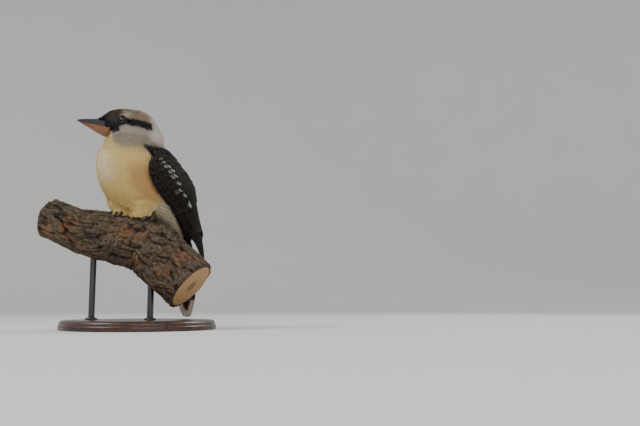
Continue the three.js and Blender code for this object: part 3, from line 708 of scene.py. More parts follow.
def standFinish():
    f = Finish("standWood", Roughness=0.35, Coat_Weight=0.4, Coat_Roughness=0.2)
    vector = f.objectPlace()
    grain = f.noise(f.scaled(vector, (14.0, 160.0, 160.0)), 1.0, 5.0, 0.6, 0.6)
    fine = f.noise(f.scaled(vector, (40.0, 900.0, 900.0)), 1.0)
    tint = f.paint(colour(78, 44, 26),
                   (colour(38, 20, 12), f.smooth(grain, 0.38, 0.66)),
                   (colour(104, 64, 38), f.smooth(fine, 0.6, 0.8) * 0.4))
    return f.feed(Base_Color=tint, Roughness=0.3 + grain * 0.2, Normal=f.bump(fine, 0.1, 0.0003))


def rodFinish():
    f = Finish("standMetal", Metallic=0.9, Roughness=0.3)
    brushed = f.noise(f.scaled(f.objectPlace(), (60.0, 60.0, 2500.0)), 1.0, 2.0)
    tint = f.paint(colour(70, 70, 72), (colour(104, 102, 100), brushed))
    return f.feed(Base_Color=tint, Roughness=0.26 + brushed * 0.16)


plumage = plumageFinish("plumage")
skinFinish = plumageFinish("plumageSkin", skin=True)
wingFeather, tailFeather = wingFinish(), tailFinish()
upperHorn = hornFinish("upperHorn", {
    "root": colour(33, 35, 39),
    "tip": colour(24, 24, 26),
    "fade": (-72, -96),
    "edge": colour(14, 13, 13),
    "edgeWidth": 1.8,
    # lighter blue-grey streaks: partly the bill's grain, partly a painted bluish sheen
    "grain": colour(60, 68, 78),
})
lowerHorn = hornFinish("lowerHorn", {
    "root": colour(140, 90, 59),
    "tip": colour(54, 40, 33),
    "fade": (-76, -98),
    "edge": colour(92, 60, 44),
    "edgeWidth": 3.4,
    "grain": colour(108, 62, 40),
})
print("finishes ready")


# Coat

shownShare = 0.7  # how far down a feather the part lies that shows
patchSize = 0.003  # of a feather on the UV map


# Feathers rooted on a sheet: each is a thin closed vane, ridged along its middle, that follows the sheet
def feathersOn(sheet, along, across, length, width, look, seed, uvAt):
    rng = np.random.default_rng(seed)
    count, rows, columns = len(along), look["rows"], look["columns"]
    downs, acrosses = np.linspace(0, 1, rows), np.linspace(-1, 1, columns)
    yaw = rng.normal(0, look["splay"], count)
    cos, sin = np.cos(yaw), np.sin(yaw)
    length = length * rng.uniform(0.85, 1.15, count)
    tipLift = look["tipLift"] + rng.uniform(-0.5, 0.5, count) * look["unruly"]
    points = np.empty((count, rows, columns, 3))
    a, b, pace, before = along, across, length / (rows - 1), None
    for i, down in enumerate(downs):
        here, back, side, outward, speed, roundSpeed = sheet.read(a, b)
        heading = back * cos[:, None] + side * sin[:, None]
        beside = side * cos[:, None] - back * sin[:, None]
        lift = blendOf(look["rootLift"], tipLift, down ** look["rise"])
        spine = here + outward * lift[:, None]
        if before is not None:  # past the sheet's ends a feather goes straight on
            loose = ((a <= 0.01) | (a >= sheet.last - 0.01))[:, None]
            spine = np.where(loose, before + heading * pace[:, None], spine)
        before = spine
        if i == round(shownShare * (rows - 1)):
            shown = here
        taper = 1 - look["taper"] * smooth(down, 0.5, 1)
        half = width * blendOf(look["rootWidth"], 1, smooth(down, 0, 0.45)) * taper
        for j, u in enumerate(acrosses):
            short = look["tipRound"] * u * u * smooth(down, 0.4, 1)
            fray = rng.uniform(0, look["fray"], count) if i == rows - 1 else 0
            camber = look["camber"] * (1 - u * u) * width
            points[:, i, j] = (spine + beside * (u * half / 2)[:, None] + outward * camber[:, None]
                               - heading * (length * (short + fray))[:, None])
        a = np.clip(a - pace * cos / np.maximum(speed, 0.5), 0, sheet.last)
        b = b + pace * sin / np.maximum(roundSpeed, 0.02)
    left = np.arange(rows - 1) * columns
    right = left + columns - 1
    fan = np.arange(1, columns - 1)
    rootFan = np.stack([np.zeros_like(fan), fan, fan + 1], -1)
    one = np.concatenate([gridTriangles(rows, columns),
                          np.stack([left, right + columns, left + columns], -1),
                          np.stack([left, right, right + columns], -1),
                          rootFan, (rows - 1) * columns + rootFan[:, ::-1]])
    size = rows * columns
    triangles = (one[None] + (np.arange(count) * size)[:, None, None]).reshape(-1, 3)
    u, v = np.tile(acrosses, rows), np.repeat(downs, columns)
    patch = np.stack([u / 2, v - 0.5], -1)[None] * patchSize
    uv = (uvAt(along, across)[:, None] + patch).reshape(-1, 2)
    vanes = np.empty((count, size, 3))
    vanes[..., 0], vanes[..., 1], vanes[..., 2] = u, v, rng.uniform(0, 1, count)[:, None]
    return partOf(points, triangles, uv=np.clip(uv, 0.001, 0.999), place=np.repeat(shown, size, 0),
                  vane=vanes.reshape(-1, 3))


def bodyUv(along, angle):
    return np.stack([(angle / 360 + 0.5) % 1, along / bodyLast], -1) * 0.99 + 0.005


eye = {"along": 15.3, "angle": -6, "sink": 6.1, "radius": 7.5, "opening": 5.4, "cornea": 0.35,
       "steps": (40, 56), "lidSteps": 96}
coatRibs = [0, 3, 6, 9, 11, 13, 15, 17, 20]
coat = {
    "depth": ([0, 10, 14, 17, 20], [1.9, 1.9, 1.6, 1.2, 0.9]),
    "length": (coatRibs, [19, 21, 20, 17, 14, 11, 8.5, 6.5, 3.6]),
    "width": (coatRibs, [6.8, 7.2, 6.8, 6.4, 5.8, 4.8, 3.9, 3.1, 1.9]),
    "wispWidth": ([0, 20], [1.15, 0.5]),
    "spacing": (coatRibs, [2.6, 2.5, 2.4, 2.3, 2.1, 1.8, 1.45, 1.2, 0.95]),
    "regions": [("Vent", 0.3, 4), ("Belly", 4, 7), ("Breast", 7, 10), ("Neck", 10, 13.5), ("Nape", 13.5, 16),
                ("Face", 16, 19.85)],
    "covered": ((3.4, 8.4), (0.16, 0.84)),  # how much of a wing hides the coat, along and across
    "coveredReach": 4.5,
}
skinSteps = (261, 200)
contourLook = {"rows": 5, "columns": 5, "splay": 0.06, "rootLift": -2.0, "tipLift": -0.2, "unruly": 0.1,
               "rise": 0.85, "rootWidth": 0.6, "taper": 0.34, "tipRound": 0.2, "fray": 0.12, "camber": 0.01}
wispLook = {"rows": 3, "columns": 3, "splay": 0.13, "rootLift": -0.9, "tipLift": 0.26, "unruly": 0.2,
            "rise": 0.6, "rootWidth": 0.8, "taper": 0.8, "tipRound": 0.05, "fray": 0.05, "camber": 0.12}


def ofCoat(key, along):
    return np.interp(along, *coat[key])


# Roots are left out where the wings lie over them and over the eyes, and no feather reaches into an eye
def clearedRoots(along, angle, length):
    root, back = bodySheet.read(along, angle)[:2]
    hidden = wingSheet.at(*gridOf(*(np.linspace(*span, 40) for span in coat["covered"]))).reshape(-1, 3)
    tree = treeOf(np.concatenate([hidden, mirrored(hidden, -1)]))
    keep = np.array([tree.find(point)[2] > coat["coveredReach"] for point in root])
    opening = eye["opening"]
    for side in (1, -1):
        away = mirrored(bodySheet.at(np.array(eye["along"]), np.array(eye["angle"])), side) - root
        ahead = (away * back).sum(-1)
        beside = np.sqrt(np.maximum((away ** 2).sum(-1) - ahead ** 2, 0))
        keep &= (away ** 2).sum(-1) > (opening + 1.2) ** 2
        blocked = (beside < opening + 0.5) & (ahead > 0)
        length = np.where(blocked, np.clip(ahead - opening + 0.2, 1.2, length), length)
    gape = (root[:, 1] < -49.5) & (np.abs(root[:, 2] - 128) < 6) & (np.abs(root[:, 0]) > 9)
    return keep & ~gape, length


def makeSkin():
    rows, columns = skinSteps
    along, angle = gridOf(np.linspace(0, bodyLast, rows), np.linspace(-180, 180, columns, endpoint=False))
    rings = bodySheet.at(along, angle, -ofCoat("depth", along))
    part = ringBody(turned(rings), place=bodySheet.at(along, angle), vane=np.full(rings.shape, 0.5),
                    uv=bodyUv(along, angle))
    makePiece("skin", part, skinFinish, ["torso", "neck", "head", "leg_left", "leg_right"])


def makeCoat():
    for n, (region, low, high) in enumerate(coat["regions"]):
        for kind, look, factor, seed in (("Feathers", contourLook, 1.0, 7), ("Wisps", wispLook, 0.4, 4)):
            along, angle = bodySheet.scatter(lambda a: ofCoat("spacing", a) * factor, (low, high),
                                             (-180, 180), 31 * n + seed)
            length, width = ofCoat("length", along), ofCoat("width", along)
            if kind == "Wisps":
                length, width = length * 0.7, ofCoat("wispWidth", along)
            keep, length = clearedRoots(along, angle, length)
            look = dict(look, rootLift=-ofCoat("depth", low) * 0.8)
            part = feathersOn(bodySheet, along[keep], angle[keep], length[keep], width[keep], look,
                              77 * n + seed, bodyUv)
            part["points"] = turned(part["points"])
            makePiece(f"coat{region}{kind}", part, plumage)


def steady(value):
    return lambda along: value + 0 * along


# How far round from the belly, -90, to the back, 90, on either side
def upTheSide(angle):
    return 90 - np.abs((angle + 90) % 360 - 180)


mantle = {"height": 6.8, "alongs": (7.2, 9.8), "sides": ((14, 88, 3), (92, 166, 4)), "spacing": 2.6,
          "lengths": (11, 17), "width": 0.42, "top": 101,
          "look": dict(contourLook, rootLift=-1.6, tipLift=-0.5, taper=0.4)}


# Mantle feathers that lie from the back over the top of each wing
def makeMantle():
    def raised(along, angle):
        up = upTheSide(angle)
        lift = mantle["height"] * smooth(along, 8.8, 7.3) * smooth(up, 0, 12) * smooth(up, 66, 50)
        return bodySheet.at(along, angle, lift)

    sheet = Sheet(raised, bodyLast, (-180, 180), bodySteps, closed=True)
    parts = []
    for low, high, seed in mantle["sides"]:
        along, angle = sheet.scatter(steady(mantle["spacing"]), mantle["alongs"], (low, high), seed)
        fading = np.random.default_rng(seed + 20).uniform(0, 1, len(along)) < smooth(along, 9.8, 9.0)
        keep = (upTheSide(angle) > 18 + 18 * smooth(along, 8.6, 7.2)) & fading
        length = np.random.default_rng(seed).uniform(*mantle["lengths"], keep.sum())
        parts.append(feathersOn(sheet, along[keep], angle[keep], length, length * mantle["width"],
                                mantle["look"], seed, bodyUv))
    part = joinParts(parts)
    part["place"][:, 2] = np.minimum(part["place"][:, 2], mantle["top"])  # black up to the nape
    part["points"] = turned(part["points"])
    makePiece("coatMantle", part, plumage)


foreheadRibs = [
    (-52, 140, -40, 167, 23.5, 0.5),
    (-57, 142.5, -51, 163.4, 19.5, 0.5),
    (-60, 145, -58.6, 157.4, 15.5, 0.5),
    (-64, 147, -64.4, 152.9, 10.8, 0.4),
    (-69, 148.6, -70, 150.4, 5, 0.4),
]
forehead = {  # look, spacing, lengths from the back to the bill, width and seeds
    "kinds": ((contourLook, 1.05, (5.2, 3.4), 2.1, 48, 50), (wispLook, 0.75, (4.2, 2.6), 0.5, 45, 47)),
    "alongs": (0.6, 3.98),
    "angles": (2, 178),
    "rootLift": -0.9,
}


# Forehead feathers share the map of the body near the bill
def foreheadUv(along, angle):
    return bodyUv(17.6 + along * 0.6, angle)


# Forehead feathers that run out to a point over the bill's root
def makeForehead():
    sheet = Sheet(loftOf(foreheadRibs), 4, (0, 180), (80, 80))
    parts = []
    for look, spacing, lengths, width, scatterSeed, seed in forehead["kinds"]:
        along, angle = sheet.scatter(steady(spacing), forehead["alongs"], forehead["angles"], scatterSeed)
        sizes = np.interp(along, [0, 4], lengths), np.full(len(along), width)
        look = dict(look, rootLift=forehead["rootLift"])
        parts.append(feathersOn(sheet, along, angle, *sizes, look, seed, foreheadUv))
    part = joinParts(parts)
    part["points"] = turned(part["points"])
    makePiece("coatForehead", part, plumage)


makeSkin()
makeCoat()
makeMantle()
makeForehead()
print("coat ready")


# Wings

vane = {"rows": 15, "columns": 7, "thickness": 0.32, "camber": 0.5, "liftShares": [0, 0.12, 0.6, 1]}


def vaneWidth(share, pointed):
    start = 0.62 if pointed else 0.8
    tip = np.sqrt(np.maximum(0, 1 - (np.maximum(share - start, 0) / (1 - start)) ** 2))
    return blendOf(0.6, 1, smooth(share, 0, 0.35)) * np.maximum(tip, 0.12)


# The place across the wing that lies a given length from another one
def wingAside(along, middle, length):
    reach = np.sign(length) * 0.05 + 1e-6
    start = wingSheet.at(along, middle)
    for _ in range(5):
        span = np.linalg.norm(wingSheet.at(along, middle + reach) - start, axis=-1)
        reach = reach * np.abs(length) / np.maximum(span, 1e-6)
    return middle + np.where(np.abs(length) < 1e-6, 0, reach)


def spread(low, high):
    return lambda share: blendOf(low, high, share)


def peak(ends, middle):
    return lambda share: blendOf(middle, ends, abs(2 * share - 0.9) ** 1.6)


# Places along and across run from a tier's first feather to its last, and lifts from a feather's root
# to its tip
wingTiers = [
    {"name": "Primaries", "count": 9, "rootAlong": spread(4.6, 4.7), "rootAcross": spread(0.1, 0.46),
     "tipAlong": peak(1.45, 0.05), "tipAcross": spread(0.14, 0.84), "half": 5.2, "tilt": 0.7,
     "lifts": [1.35, 1.4, 1.45, 1.5], "pile": (0.15, 0.34), "pointed": True, "tone": 0.6, "edge": 0.15},
    {"name": "Secondaries", "count": 10, "rootAlong": spread(5.1, 5.3), "rootAcross": spread(0.1, 0.92),
     "tipAlong": spread(3, 1.75), "tipAcross": spread(0.12, 0.88), "half": 6.6, "tilt": 0.7,
     "lifts": [2.6, 5.2, 5.3, 5.4], "pile": (0, 0.2), "tone": 0.5, "edge": 0.3},
]
rootEnd = 9.1
# Coverts in rows from the flight feathers up to the bend of the wing
for tip, count, half, edge in ((4.4, 12, 6.8, 0.35), (5.0, 13, 6.6, 0.3), (5.5, 13, 6.2, 0.3),
                               (6.05, 13, 6.0, 0.35), (6.55, 13, 5.8, 0.45), (7.0, 12, 5.6, 0.6),
                               (7.5, 12, 5.3, 0.75), (8.0, 11, 5.0, 0.9), (8.45, 10, 4.6, 1.0)):
    inset = 0.05 + 0.1 * float(smooth(tip, 7.2, 8.6))
    wingTiers.append({
        "name": f"Coverts{round(tip * 10)}", "count": count,
        "rootAlong": spread(min(tip + 1.7, rootEnd), min(tip + 1.6, rootEnd)),
        "rootAcross": spread(inset + 0.04, 0.86 - inset),
        "tipAlong": spread(tip + 0.1, tip - 0.15), "tipAcross": spread(inset, 0.9 - inset),
        "lifts": [2.4, 5.0, 7.0 - 0.5 * (tip < 5.2), min(8.8, 7.4 + (tip - 4.4) * 0.8)], "pile": (0, 0.05),
        "half": half, "tilt": 0.6, "tone": 0.3, "edge": edge,
    })
# Smooth black shoulder feathers over the upper half
for tip, count, low, name in ((3.9, 8, 0.66, "Fourth"), (4.6, 8, 0.62, "Third"), (5.4, 9, 0.58, "Second"),
                              (6.2, 9, 0.56, "First"), (7.1, 8, 0.58, "Upper"), (7.9, 6, 0.62, "Top")):
    wingTiers.append({
        "name": f"Scapulars{name}", "count": count,
        "rootAlong": spread(min(tip + 2.0, rootEnd), min(tip + 1.8, rootEnd)),
        "rootAcross": spread(low + 0.06, 0.96),
        "tipAlong": spread(tip + 0.3, tip - 0.2), "tipAcross": spread(low, 1.0),
        "lifts": [2.4, 5.4, 7.2, min(9.2, 7.3 + (tip - 3.9) * 0.8)], "pile": (0, 0.06),
        "half": 6.0, "tilt": 0.4, "tone": 1.0, "edge": 0.06,
    })
# The pale spots run in a line along the coverts
spotLine = [(4.2, 0.3), (4.95, 0.29), (5.48, 0.31), (6.15, 0.36), (6.61, 0.43), (7.02, 0.46), (8.02, 0.45),
            (8.6, 0.38)]
arm = {"start": 4.1, "steps": (40, 24), "height": 4.0, "swell": 2.0, "under": -0.5}  # under the coverts
plateRoom, plateMargin = 0.9, 0.04  # of a plate's cell on the UV map


# A closed thin plate over a grid of places, with a cell of its own on the UV map
def plate(front, back, place, chance, cell, cells):
    rows, columns = front.shape[:2]
    size = rows * columns
    rim = np.concatenate([np.arange(columns), np.arange(1, rows) * columns + columns - 1,
                          (rows - 1) * columns + np.arange(columns - 2, -1, -1),
                          np.arange(rows - 2, 0, -1) * columns])
    after = np.roll(rim, -1)
    triangles = [gridTriangles(rows, columns), gridTriangles(rows, columns, start=size)[:, ::-1],
                 np.stack([rim, after, after + size], -1), np.stack([rim, after + size, rim + size], -1)]
    points = np.concatenate([front.reshape(-1, 3), back.reshape(-1, 3)])
    u, v = np.tile(np.linspace(-1, 1, columns), rows), np.repeat(np.linspace(0, 1, rows), columns)
    vanes = np.tile(np.stack([u, v, np.full(size, chance)], -1), (2, 1))
    wide = math.ceil(math.sqrt(cells))
    corner = np.array([cell % wide, cell // wide]) / wide
    spots = np.stack([(u + 1) / 4, v], -1)
    uv = corner + np.concatenate([spots, spots + [0.5, 0]]) * plateRoom / wide + plateMargin / wide
    return partOf(points, np.concatenate(triangles), uv=uv, vane=vanes, place=np.tile(place, (2 * size, 1)))


# The upper edge of the wing sinks in towards the back
def wingSink(along, across):
    return 3.2 * smooth(across, 0.45, 0.95) * smooth(along, 2, 3.6) * smooth(along, 8.4, 7.4)


# A face of a vane or arm, at a lift over the wing's sheet
def wingFace(along, across, lift, side):
    return mirrored(wingSheet.at(along, across, lift), side)[:, ::side]


def wingFeathers(tier, side, seed):
    rng = np.random.default_rng(seed)
    parts = []
    down, across = gridOf(np.linspace(0, 1, vane["rows"]), np.linspace(-1, 1, vane["columns"]))
    for k in range(tier["count"]):
        share = k / (tier["count"] - 1)
        rootAlong, tipAlong = tier["rootAlong"](share), tier["tipAlong"](share) + rng.uniform(-0.08, 0.08)
        middle = blendOf(tier["rootAcross"](share), tier["tipAcross"](share), down)
        along = blendOf(rootAlong, tipAlong, down)
        half = tier["half"] * vaneWidth(down, "pointed" in tier) * rng.uniform(0.96, 1.04)
        place = wingAside(along, middle, across * half)
        lift = np.interp(down, vane["liftShares"], tier["lifts"]) + k * blendOf(*tier["pile"], down)
        lift = lift - tier["tilt"] * across - vane["camber"] * across ** 2 - wingSink(along, place)
        thick = vane["thickness"] * (1 - 0.6 * smooth(down, 0.8, 1)) * (1 - 0.5 * across ** 2)
        spot, line = 0.0, np.interp(tipAlong, *np.transpose(spotLine))
        if tier["name"].startswith("Coverts") and tipAlong > 4.2:
            away = abs(tier["tipAcross"](share) - line)
            spot = float(smooth(away, 0.1, 0.03)) * rng.uniform(0.55, 1) * (rng.uniform() < 0.85)
        faces = [wingFace(along, place, lift + out * thick, side) for out in (0.5, -0.5)]
        parts.append(plate(*faces, [spot, tier["tone"], tier["edge"]], rng.uniform(), k, tier["count"]))
    return joinParts(parts)


def makeWings():
    for side, name in ((1, "Left"), (-1, "Right")):
        for n, tier in enumerate(wingTiers):
            makePiece(f"wing{tier['name']}{name}", wingFeathers(tier, side, 100 * n + side + 1), wingFeather,
                      [f"wing_{name.lower()}"] if n == 0 else [])
        rows, columns = arm["steps"]
        along, across = gridOf(np.linspace(arm["start"], rootEnd, rows), np.linspace(0, 1, columns))
        pinch = 0.03 + 0.34 * (1 - smooth(9.5 - along, 0, 0.9))
        place = blendOf(pinch, 1 - pinch, across)
        top = arm["height"] + arm["swell"] * smooth(along, 5.5, 7) - wingSink(along, place)
        faces = [wingFace(along, place, lift, side) for lift in (top, arm["under"])]
        makePiece(f"wingArm{name}", plate(*faces, [0, 0.1, 0.2], 0.5, 0, 1), wingFeather)


makeWings()
print("wings ready")


# Tail

rumpMiddle = (np.array(bodyRibs[0][0:2], float) + np.array(bodyRibs[0][2:4], float)) / 2
tail = {"length": 125, "start": -6, "depth": 3.3, "rows": 22, "columns": 9, "thickness": 0.3, "side": 6,
        "middleHalf": 11, "half": 7.6, "covertStart": -8, "covertHalf": 5.6, "covertCount": 9,
        "covertAside": 11.5, "covertRoot": 6.2, "covertRows": (1, 0.72, 0.45)}


def tailPoint(aside, down, depth):
    back = 8 * smooth(down, -12, 90)
    return np.stack([aside, rumpMiddle[0] + back + depth, rumpMiddle[1] - down], -1)


def tailVane(aside, half, depth, rootDepth, start, end, tone, chance, cell, cells):
    down, across = gridOf(np.linspace(0, 1, tail["rows"]), np.linspace(-1, 1, tail["columns"]))
    run = blendOf(start, end, down)
    x = aside * blendOf(0.5, 1, smooth(down, 0, 0.9)) + across * (half * vaneWidth(down, False))
    sunk = blendOf(rootDepth, depth, smooth(run, start, start + 32)) - 0.45 * across ** 2
    thick = tail["thickness"] * (1 - 0.5 * across ** 2)
    front, back = tailPoint(x, run, sunk + thick / 2), tailPoint(x, run, sunk - thick / 2)
    return plate(front[:, ::-1], back[:, ::-1], [0, tone, 0.5], chance, cell, cells)


def makeTail():
    rng = np.random.default_rng(5)
    feathers = []
    for side in (1, -1):
        feathers.append((side * 2.5, tail["middleHalf"], tail["depth"] - (side < 0), tail["length"]))
        for n in range(2, tail["side"] + 1):
            feathers.append((side * (4.2 + 2.1 * n), tail["half"], tail["depth"] - 0.6 * n + 0.3 * (side < 0),
                             tail["length"] - 0.55 * n * n + 1))
    parts = [tailVane(aside, half, depth, depth * 0.5, tail["start"], end, 0, rng.uniform(), n, len(feathers))
             for n, (aside, half, depth, end) in enumerate(feathers)]
    makePiece("tailFeathers", joinParts(parts), tailFeather, ["tail"])
    count = tail["covertCount"]
    for name, outward, reach, finish in (("Upper", 1, 46, wingFeather), ("Under", -1, 44, plumage)):
        parts = []
        for row, scale in enumerate(tail["covertRows"]):
            for k in range(count):
                off = 2 * k / (count - 1) - 1
                depth = 1.6 + outward * (2.7 + 0.5 * row + 0.6 * (1 - abs(off))) + 0.04 * k
                end = reach * scale * (1 - 0.12 * off * off) + rng.uniform(-2, 2)
                parts.append(tailVane(off * tail["covertAside"], tail["covertHalf"], depth,
                                      outward * tail["covertRoot"], tail["covertStart"], end, 1,
                                      rng.uniform(), k + row * count, len(tail["covertRows"]) * count))
        part = joinParts(parts)
        if outward < 0:  # plumage takes its marks from the place on the body
            part["place"] = part["points"].copy()
        makePiece(f"tailCoverts{name}", part, finish)


makeTail()
print("tail ready")


# Head: bill, eyes, lids

# From root to tip: y past the bill's root, heights of the ridge, mouth and underside, and half-width
billSections = [
    (1, 150.4, 136, 122, 15),
    (-8, 150, 137.6, 126, 12.6),
    (-16, 149.4, 139.3, 130.4, 10.2),
    (-24, 148.8, 141.1, 135, 7.7),
    (-31, 148.1, 142.6, 139, 5.3),
    (-36.5, 147.4, 143.9, 141.9, 3.3),
    (-40, 146.6, 144.6, 143.6, 1.6),
]
# Bare skin behind the lower half, and the tip of the upper one
gapeSections = [(8, 150.6, 132.6, 123.6, 14.6), (5, 150.5, 134.6, 121.8, 16.4)]
billHook = (-42.4, 144.4, 143.2, 143.2, 0.6)
bill = {"rows": 60, "sides": 22, "mouthGap": 0.3, "grooveY": -9, "grooveLength": 6, "grooveTurn": 0.75,
        "grooveHeight": 0.3, "grooveDepth": 0.09}


def makeBill():
    for name, side, finish, slot in (("Upper", 1, upperHorn, "dark_horn"),
                                     ("Lower", -1, lowerHorn, "pale_horn")):
        sections = billSections + [billHook] if side > 0 else gapeSections + billSections
        steps = np.linspace(0, len(sections) - 1, bill["rows"])
        y, top, mouth, under, wide = curveAt(sections, steps).T[:, :, None]
        turn = np.linspace(0, math.pi, bill["sides"])[None]
        start = mouth + side * bill["mouthGap"] / 2
        height = (top if side > 0 else under) - start
        x = wide * np.cos(turn)
        if side > 0:  # the nostrils' grooves
            near = np.exp(-((y - bill["grooveY"]) / bill["grooveLength"]) ** 2)
            groove = sum(near * np.exp(-((turn - at) / bill["grooveHeight"]) ** 2)
                         for at in (bill["grooveTurn"], math.pi - bill["grooveTurn"]))
            x = x * (1 - bill["grooveDepth"] * groove)
        rise = np.sin(turn) ** (0.8 if side > 0 else 0.9)
        arch = np.stack([x, billRoot + y + 0 * x, start + height * rise], -1)
        # the cutting edge runs inward under the arch
        inner = np.linspace(-1, 1, 9)[1:-1][None] * wide
        edge = np.stack([inner * 0.96, billRoot + y + 0 * inner, start + side * 0.35 + 0 * inner], -1)
        rings = np.concatenate([arch, edge], 1)
        makePiece(f"bill{name}", ringBody(turned(rings), place=rings), finish, [f"bill_{name.lower()}"])


def eyeFrame(side):
    spot = np.array(eye["along"]), np.array(eye["angle"])
    outward = bodySheet.read(*spot)[3]
    middle = turned(mirrored(bodyLoft(*spot) - outward * eye["sink"], side))
    axis = spun(mirrored(outward, side), -math.radians(headTurn["degrees"]))
    up = unit(np.cross(axis, np.cross([0, 0, 1.0], axis)))
    return middle, axis, np.cross(up, axis), up


# Reach and lift of a lid's rows: a rim with two folds round the eye
lidRows = [(4.9, 5.4), (5.1, 6.0), (5.5, 6.3), (6.0, 6.2), (6.4, 5.9), (6.9, 5.2), (7.2, 3.8), (6.4, 3.0),
           (5.2, 4.2)]


def makeEyes():
    lid, ball = lidFinish(), eyeFinish()
    for side, name in ((1, "Left"), (-1, "Right")):
        middle, axis, across, up = eyeFrame(side)
        tilt, turn = gridOf(np.linspace(0.001, math.pi - 0.001, eye["steps"][0]), roundTurn(eye["steps"][1]))
        # the cornea stands a little proud
        radius = eye["radius"] + eye["cornea"] * np.exp(-(tilt / 0.5) ** 2)
        local = np.stack([np.sin(tilt) * np.cos(turn), np.sin(tilt) * np.sin(turn), np.cos(tilt)], -1)
        local = local * radius[..., None]
        rings = middle + local[..., :1] * across + local[..., 1:2] * up + local[..., 2:] * axis
        reach = np.hypot(local[..., 0], local[..., 1]) + np.where(local[..., 2] < 0, 20, 0)
        place = np.stack([reach, turn * 3, tilt * 3], -1)
        makePiece(f"eye{name}", ringBody(rings, place=place), ball, [f"eye_{name.lower()}"])
        # the lids are pointed at front and back
        turn = roundTurn(eye["lidSteps"])
        rows = []
        for reach, lift in lidRows:
            wide = reach * (1 + 0.1 * np.abs(np.cos(turn)) ** 3)
            high = reach * 0.86
            ripple = 0.1 * np.sin(turn * 17 + reach) * (reach > 5.2)
            rows.append(middle + across * (wide * np.cos(turn))[:, None] + up * (high * np.sin(turn))[:, None]
                        + axis * (lift + ripple)[:, None])
        rings = np.stack(rows, 1)
        triangles = gridTriangles(len(rings) + 1, len(lidRows), True) % (len(rings) * len(lidRows))
        makePiece(f"lids{name}", partOf(rings, triangles), lid)


makeBill()
makeEyes()
print("head ready")


# Perch: how far along, the height of the bark's top and the radius
perchShape = [(-150, 28, 33), (-85, 8, 36), (-15, 0, 42), (42, -13, 45), (84, -48, 45), (124, -86, 42)]
perchHeading = math.radians(26)
perchLast = len(perchShape) - 1
perch = {"rows": 350, "sides": 250, "seed": 3, "hollow": 0.8, "endSteps": 24}


def perchMiddles():
    middles = []
    for i, (along, top, radius) in enumerate(perchShape):
        after, before = perchShape[min(i + 1, perchLast)], perchShape[max(i - 1, 0)]
        slope = math.atan2(after[1] - before[1], after[0] - before[0])
        x, z = along + radius * math.sin(slope), top - radius * math.cos(slope)
        middles.append((x * math.cos(perchHeading), x * math.sin(perchHeading), z))
    return middles


perchAxis = perchMiddles()


def perchRadius(share):
    radii = [(along, radius, 0) for along, top, radius in perchShape]
    return curveAt(radii, share * perchLast, even=False)[..., 1]


# A point of the bark. share runs from end to end, angle is 90 on top and 0 at the front
def barkPoint(share, angle, lift=0.0):
    share, angle = np.broadcast_arrays(np.asarray(share, float), np.radians(angle))
    middle, before, after = (curveAt(perchAxis, at * perchLast, even=False)
                             for at in (share, np.maximum(share - 0.001, 0), np.minimum(share + 0.001, 1)))
    along = unit(after - before)
    front = np.array([math.sin(perchHeading), -math.cos(perchHeading), 0]) + 0 * along
    up = np.cross(front, along)
    furrows = np.sin(angle * 9 + share * 11) * 0.8 + np.sin(angle * 5 - share * 23) * 0.9
    radius = perchRadius(share) + furrows + np.sin(angle * 2 + share * 17) * 1.1 + lift
    return middle + front * (radius * np.cos(angle))[..., None] + up * (radius * np.sin(angle))[..., None]


# How far along the branch and how far off its line a place lies
def branchPlace(x, y):
    cos, sin = math.cos(perchHeading), math.sin(perchHeading)
    return x * cos + y * sin, y * cos - x * sin


def perchShare(along):
    low, high = 0.0, 1.0
    for _ in range(24):
        half = (low + high) / 2
        if branchPlace(*barkPoint(half, 90)[:2])[0] < along:
            low = half
        else:
            high = half
    return (low + high) / 2


# Long furrows, broken plates between them, and flakes on the plates
def barkRelief(share, turn):
    noise.seed_set(perch["seed"])  # or else the bends differ from run to run
    flat = np.stack([np.cos(turn) * 2.2, np.sin(turn) * 2.2, share * 14], -1).reshape(-1, 3)
    readings = []
    for spot in map(Vector, flat):
        bend = noise.noise_vector(spot * 0.9) * 0.35
        furrow = noise.noise(Vector((spot.x * 1.7 + bend.x, spot.y * 1.7 + bend.y, spot.z * 0.45 + 7)))
        block = Vector((spot.x * 1.5 + bend.x, spot.y * 1.5 + bend.y, spot.z * 0.5 + bend.z)) * 1.2
        near = noise.voronoi(block)[0]
        step = noise.fractal(spot * 1.6, 0.9, 2.2, 3)
        readings.append((abs(furrow), near[1] - near[0], step * 3.2, noise.fractal(spot * 5.5, 0.7, 2.1, 3)))
    furrow, plates, step, grain = np.transpose(readings).reshape(4, *share.shape)
    flakes = (np.floor(step) + smooth(step % 1, 0, 0.35)) * 0.55
    relief = np.minimum(furrow * 9, 1.5) - 1.4 + np.minimum(plates * 5, 1.2) - 0.9
    return relief + flakes * 0.75 + grain * 0.45


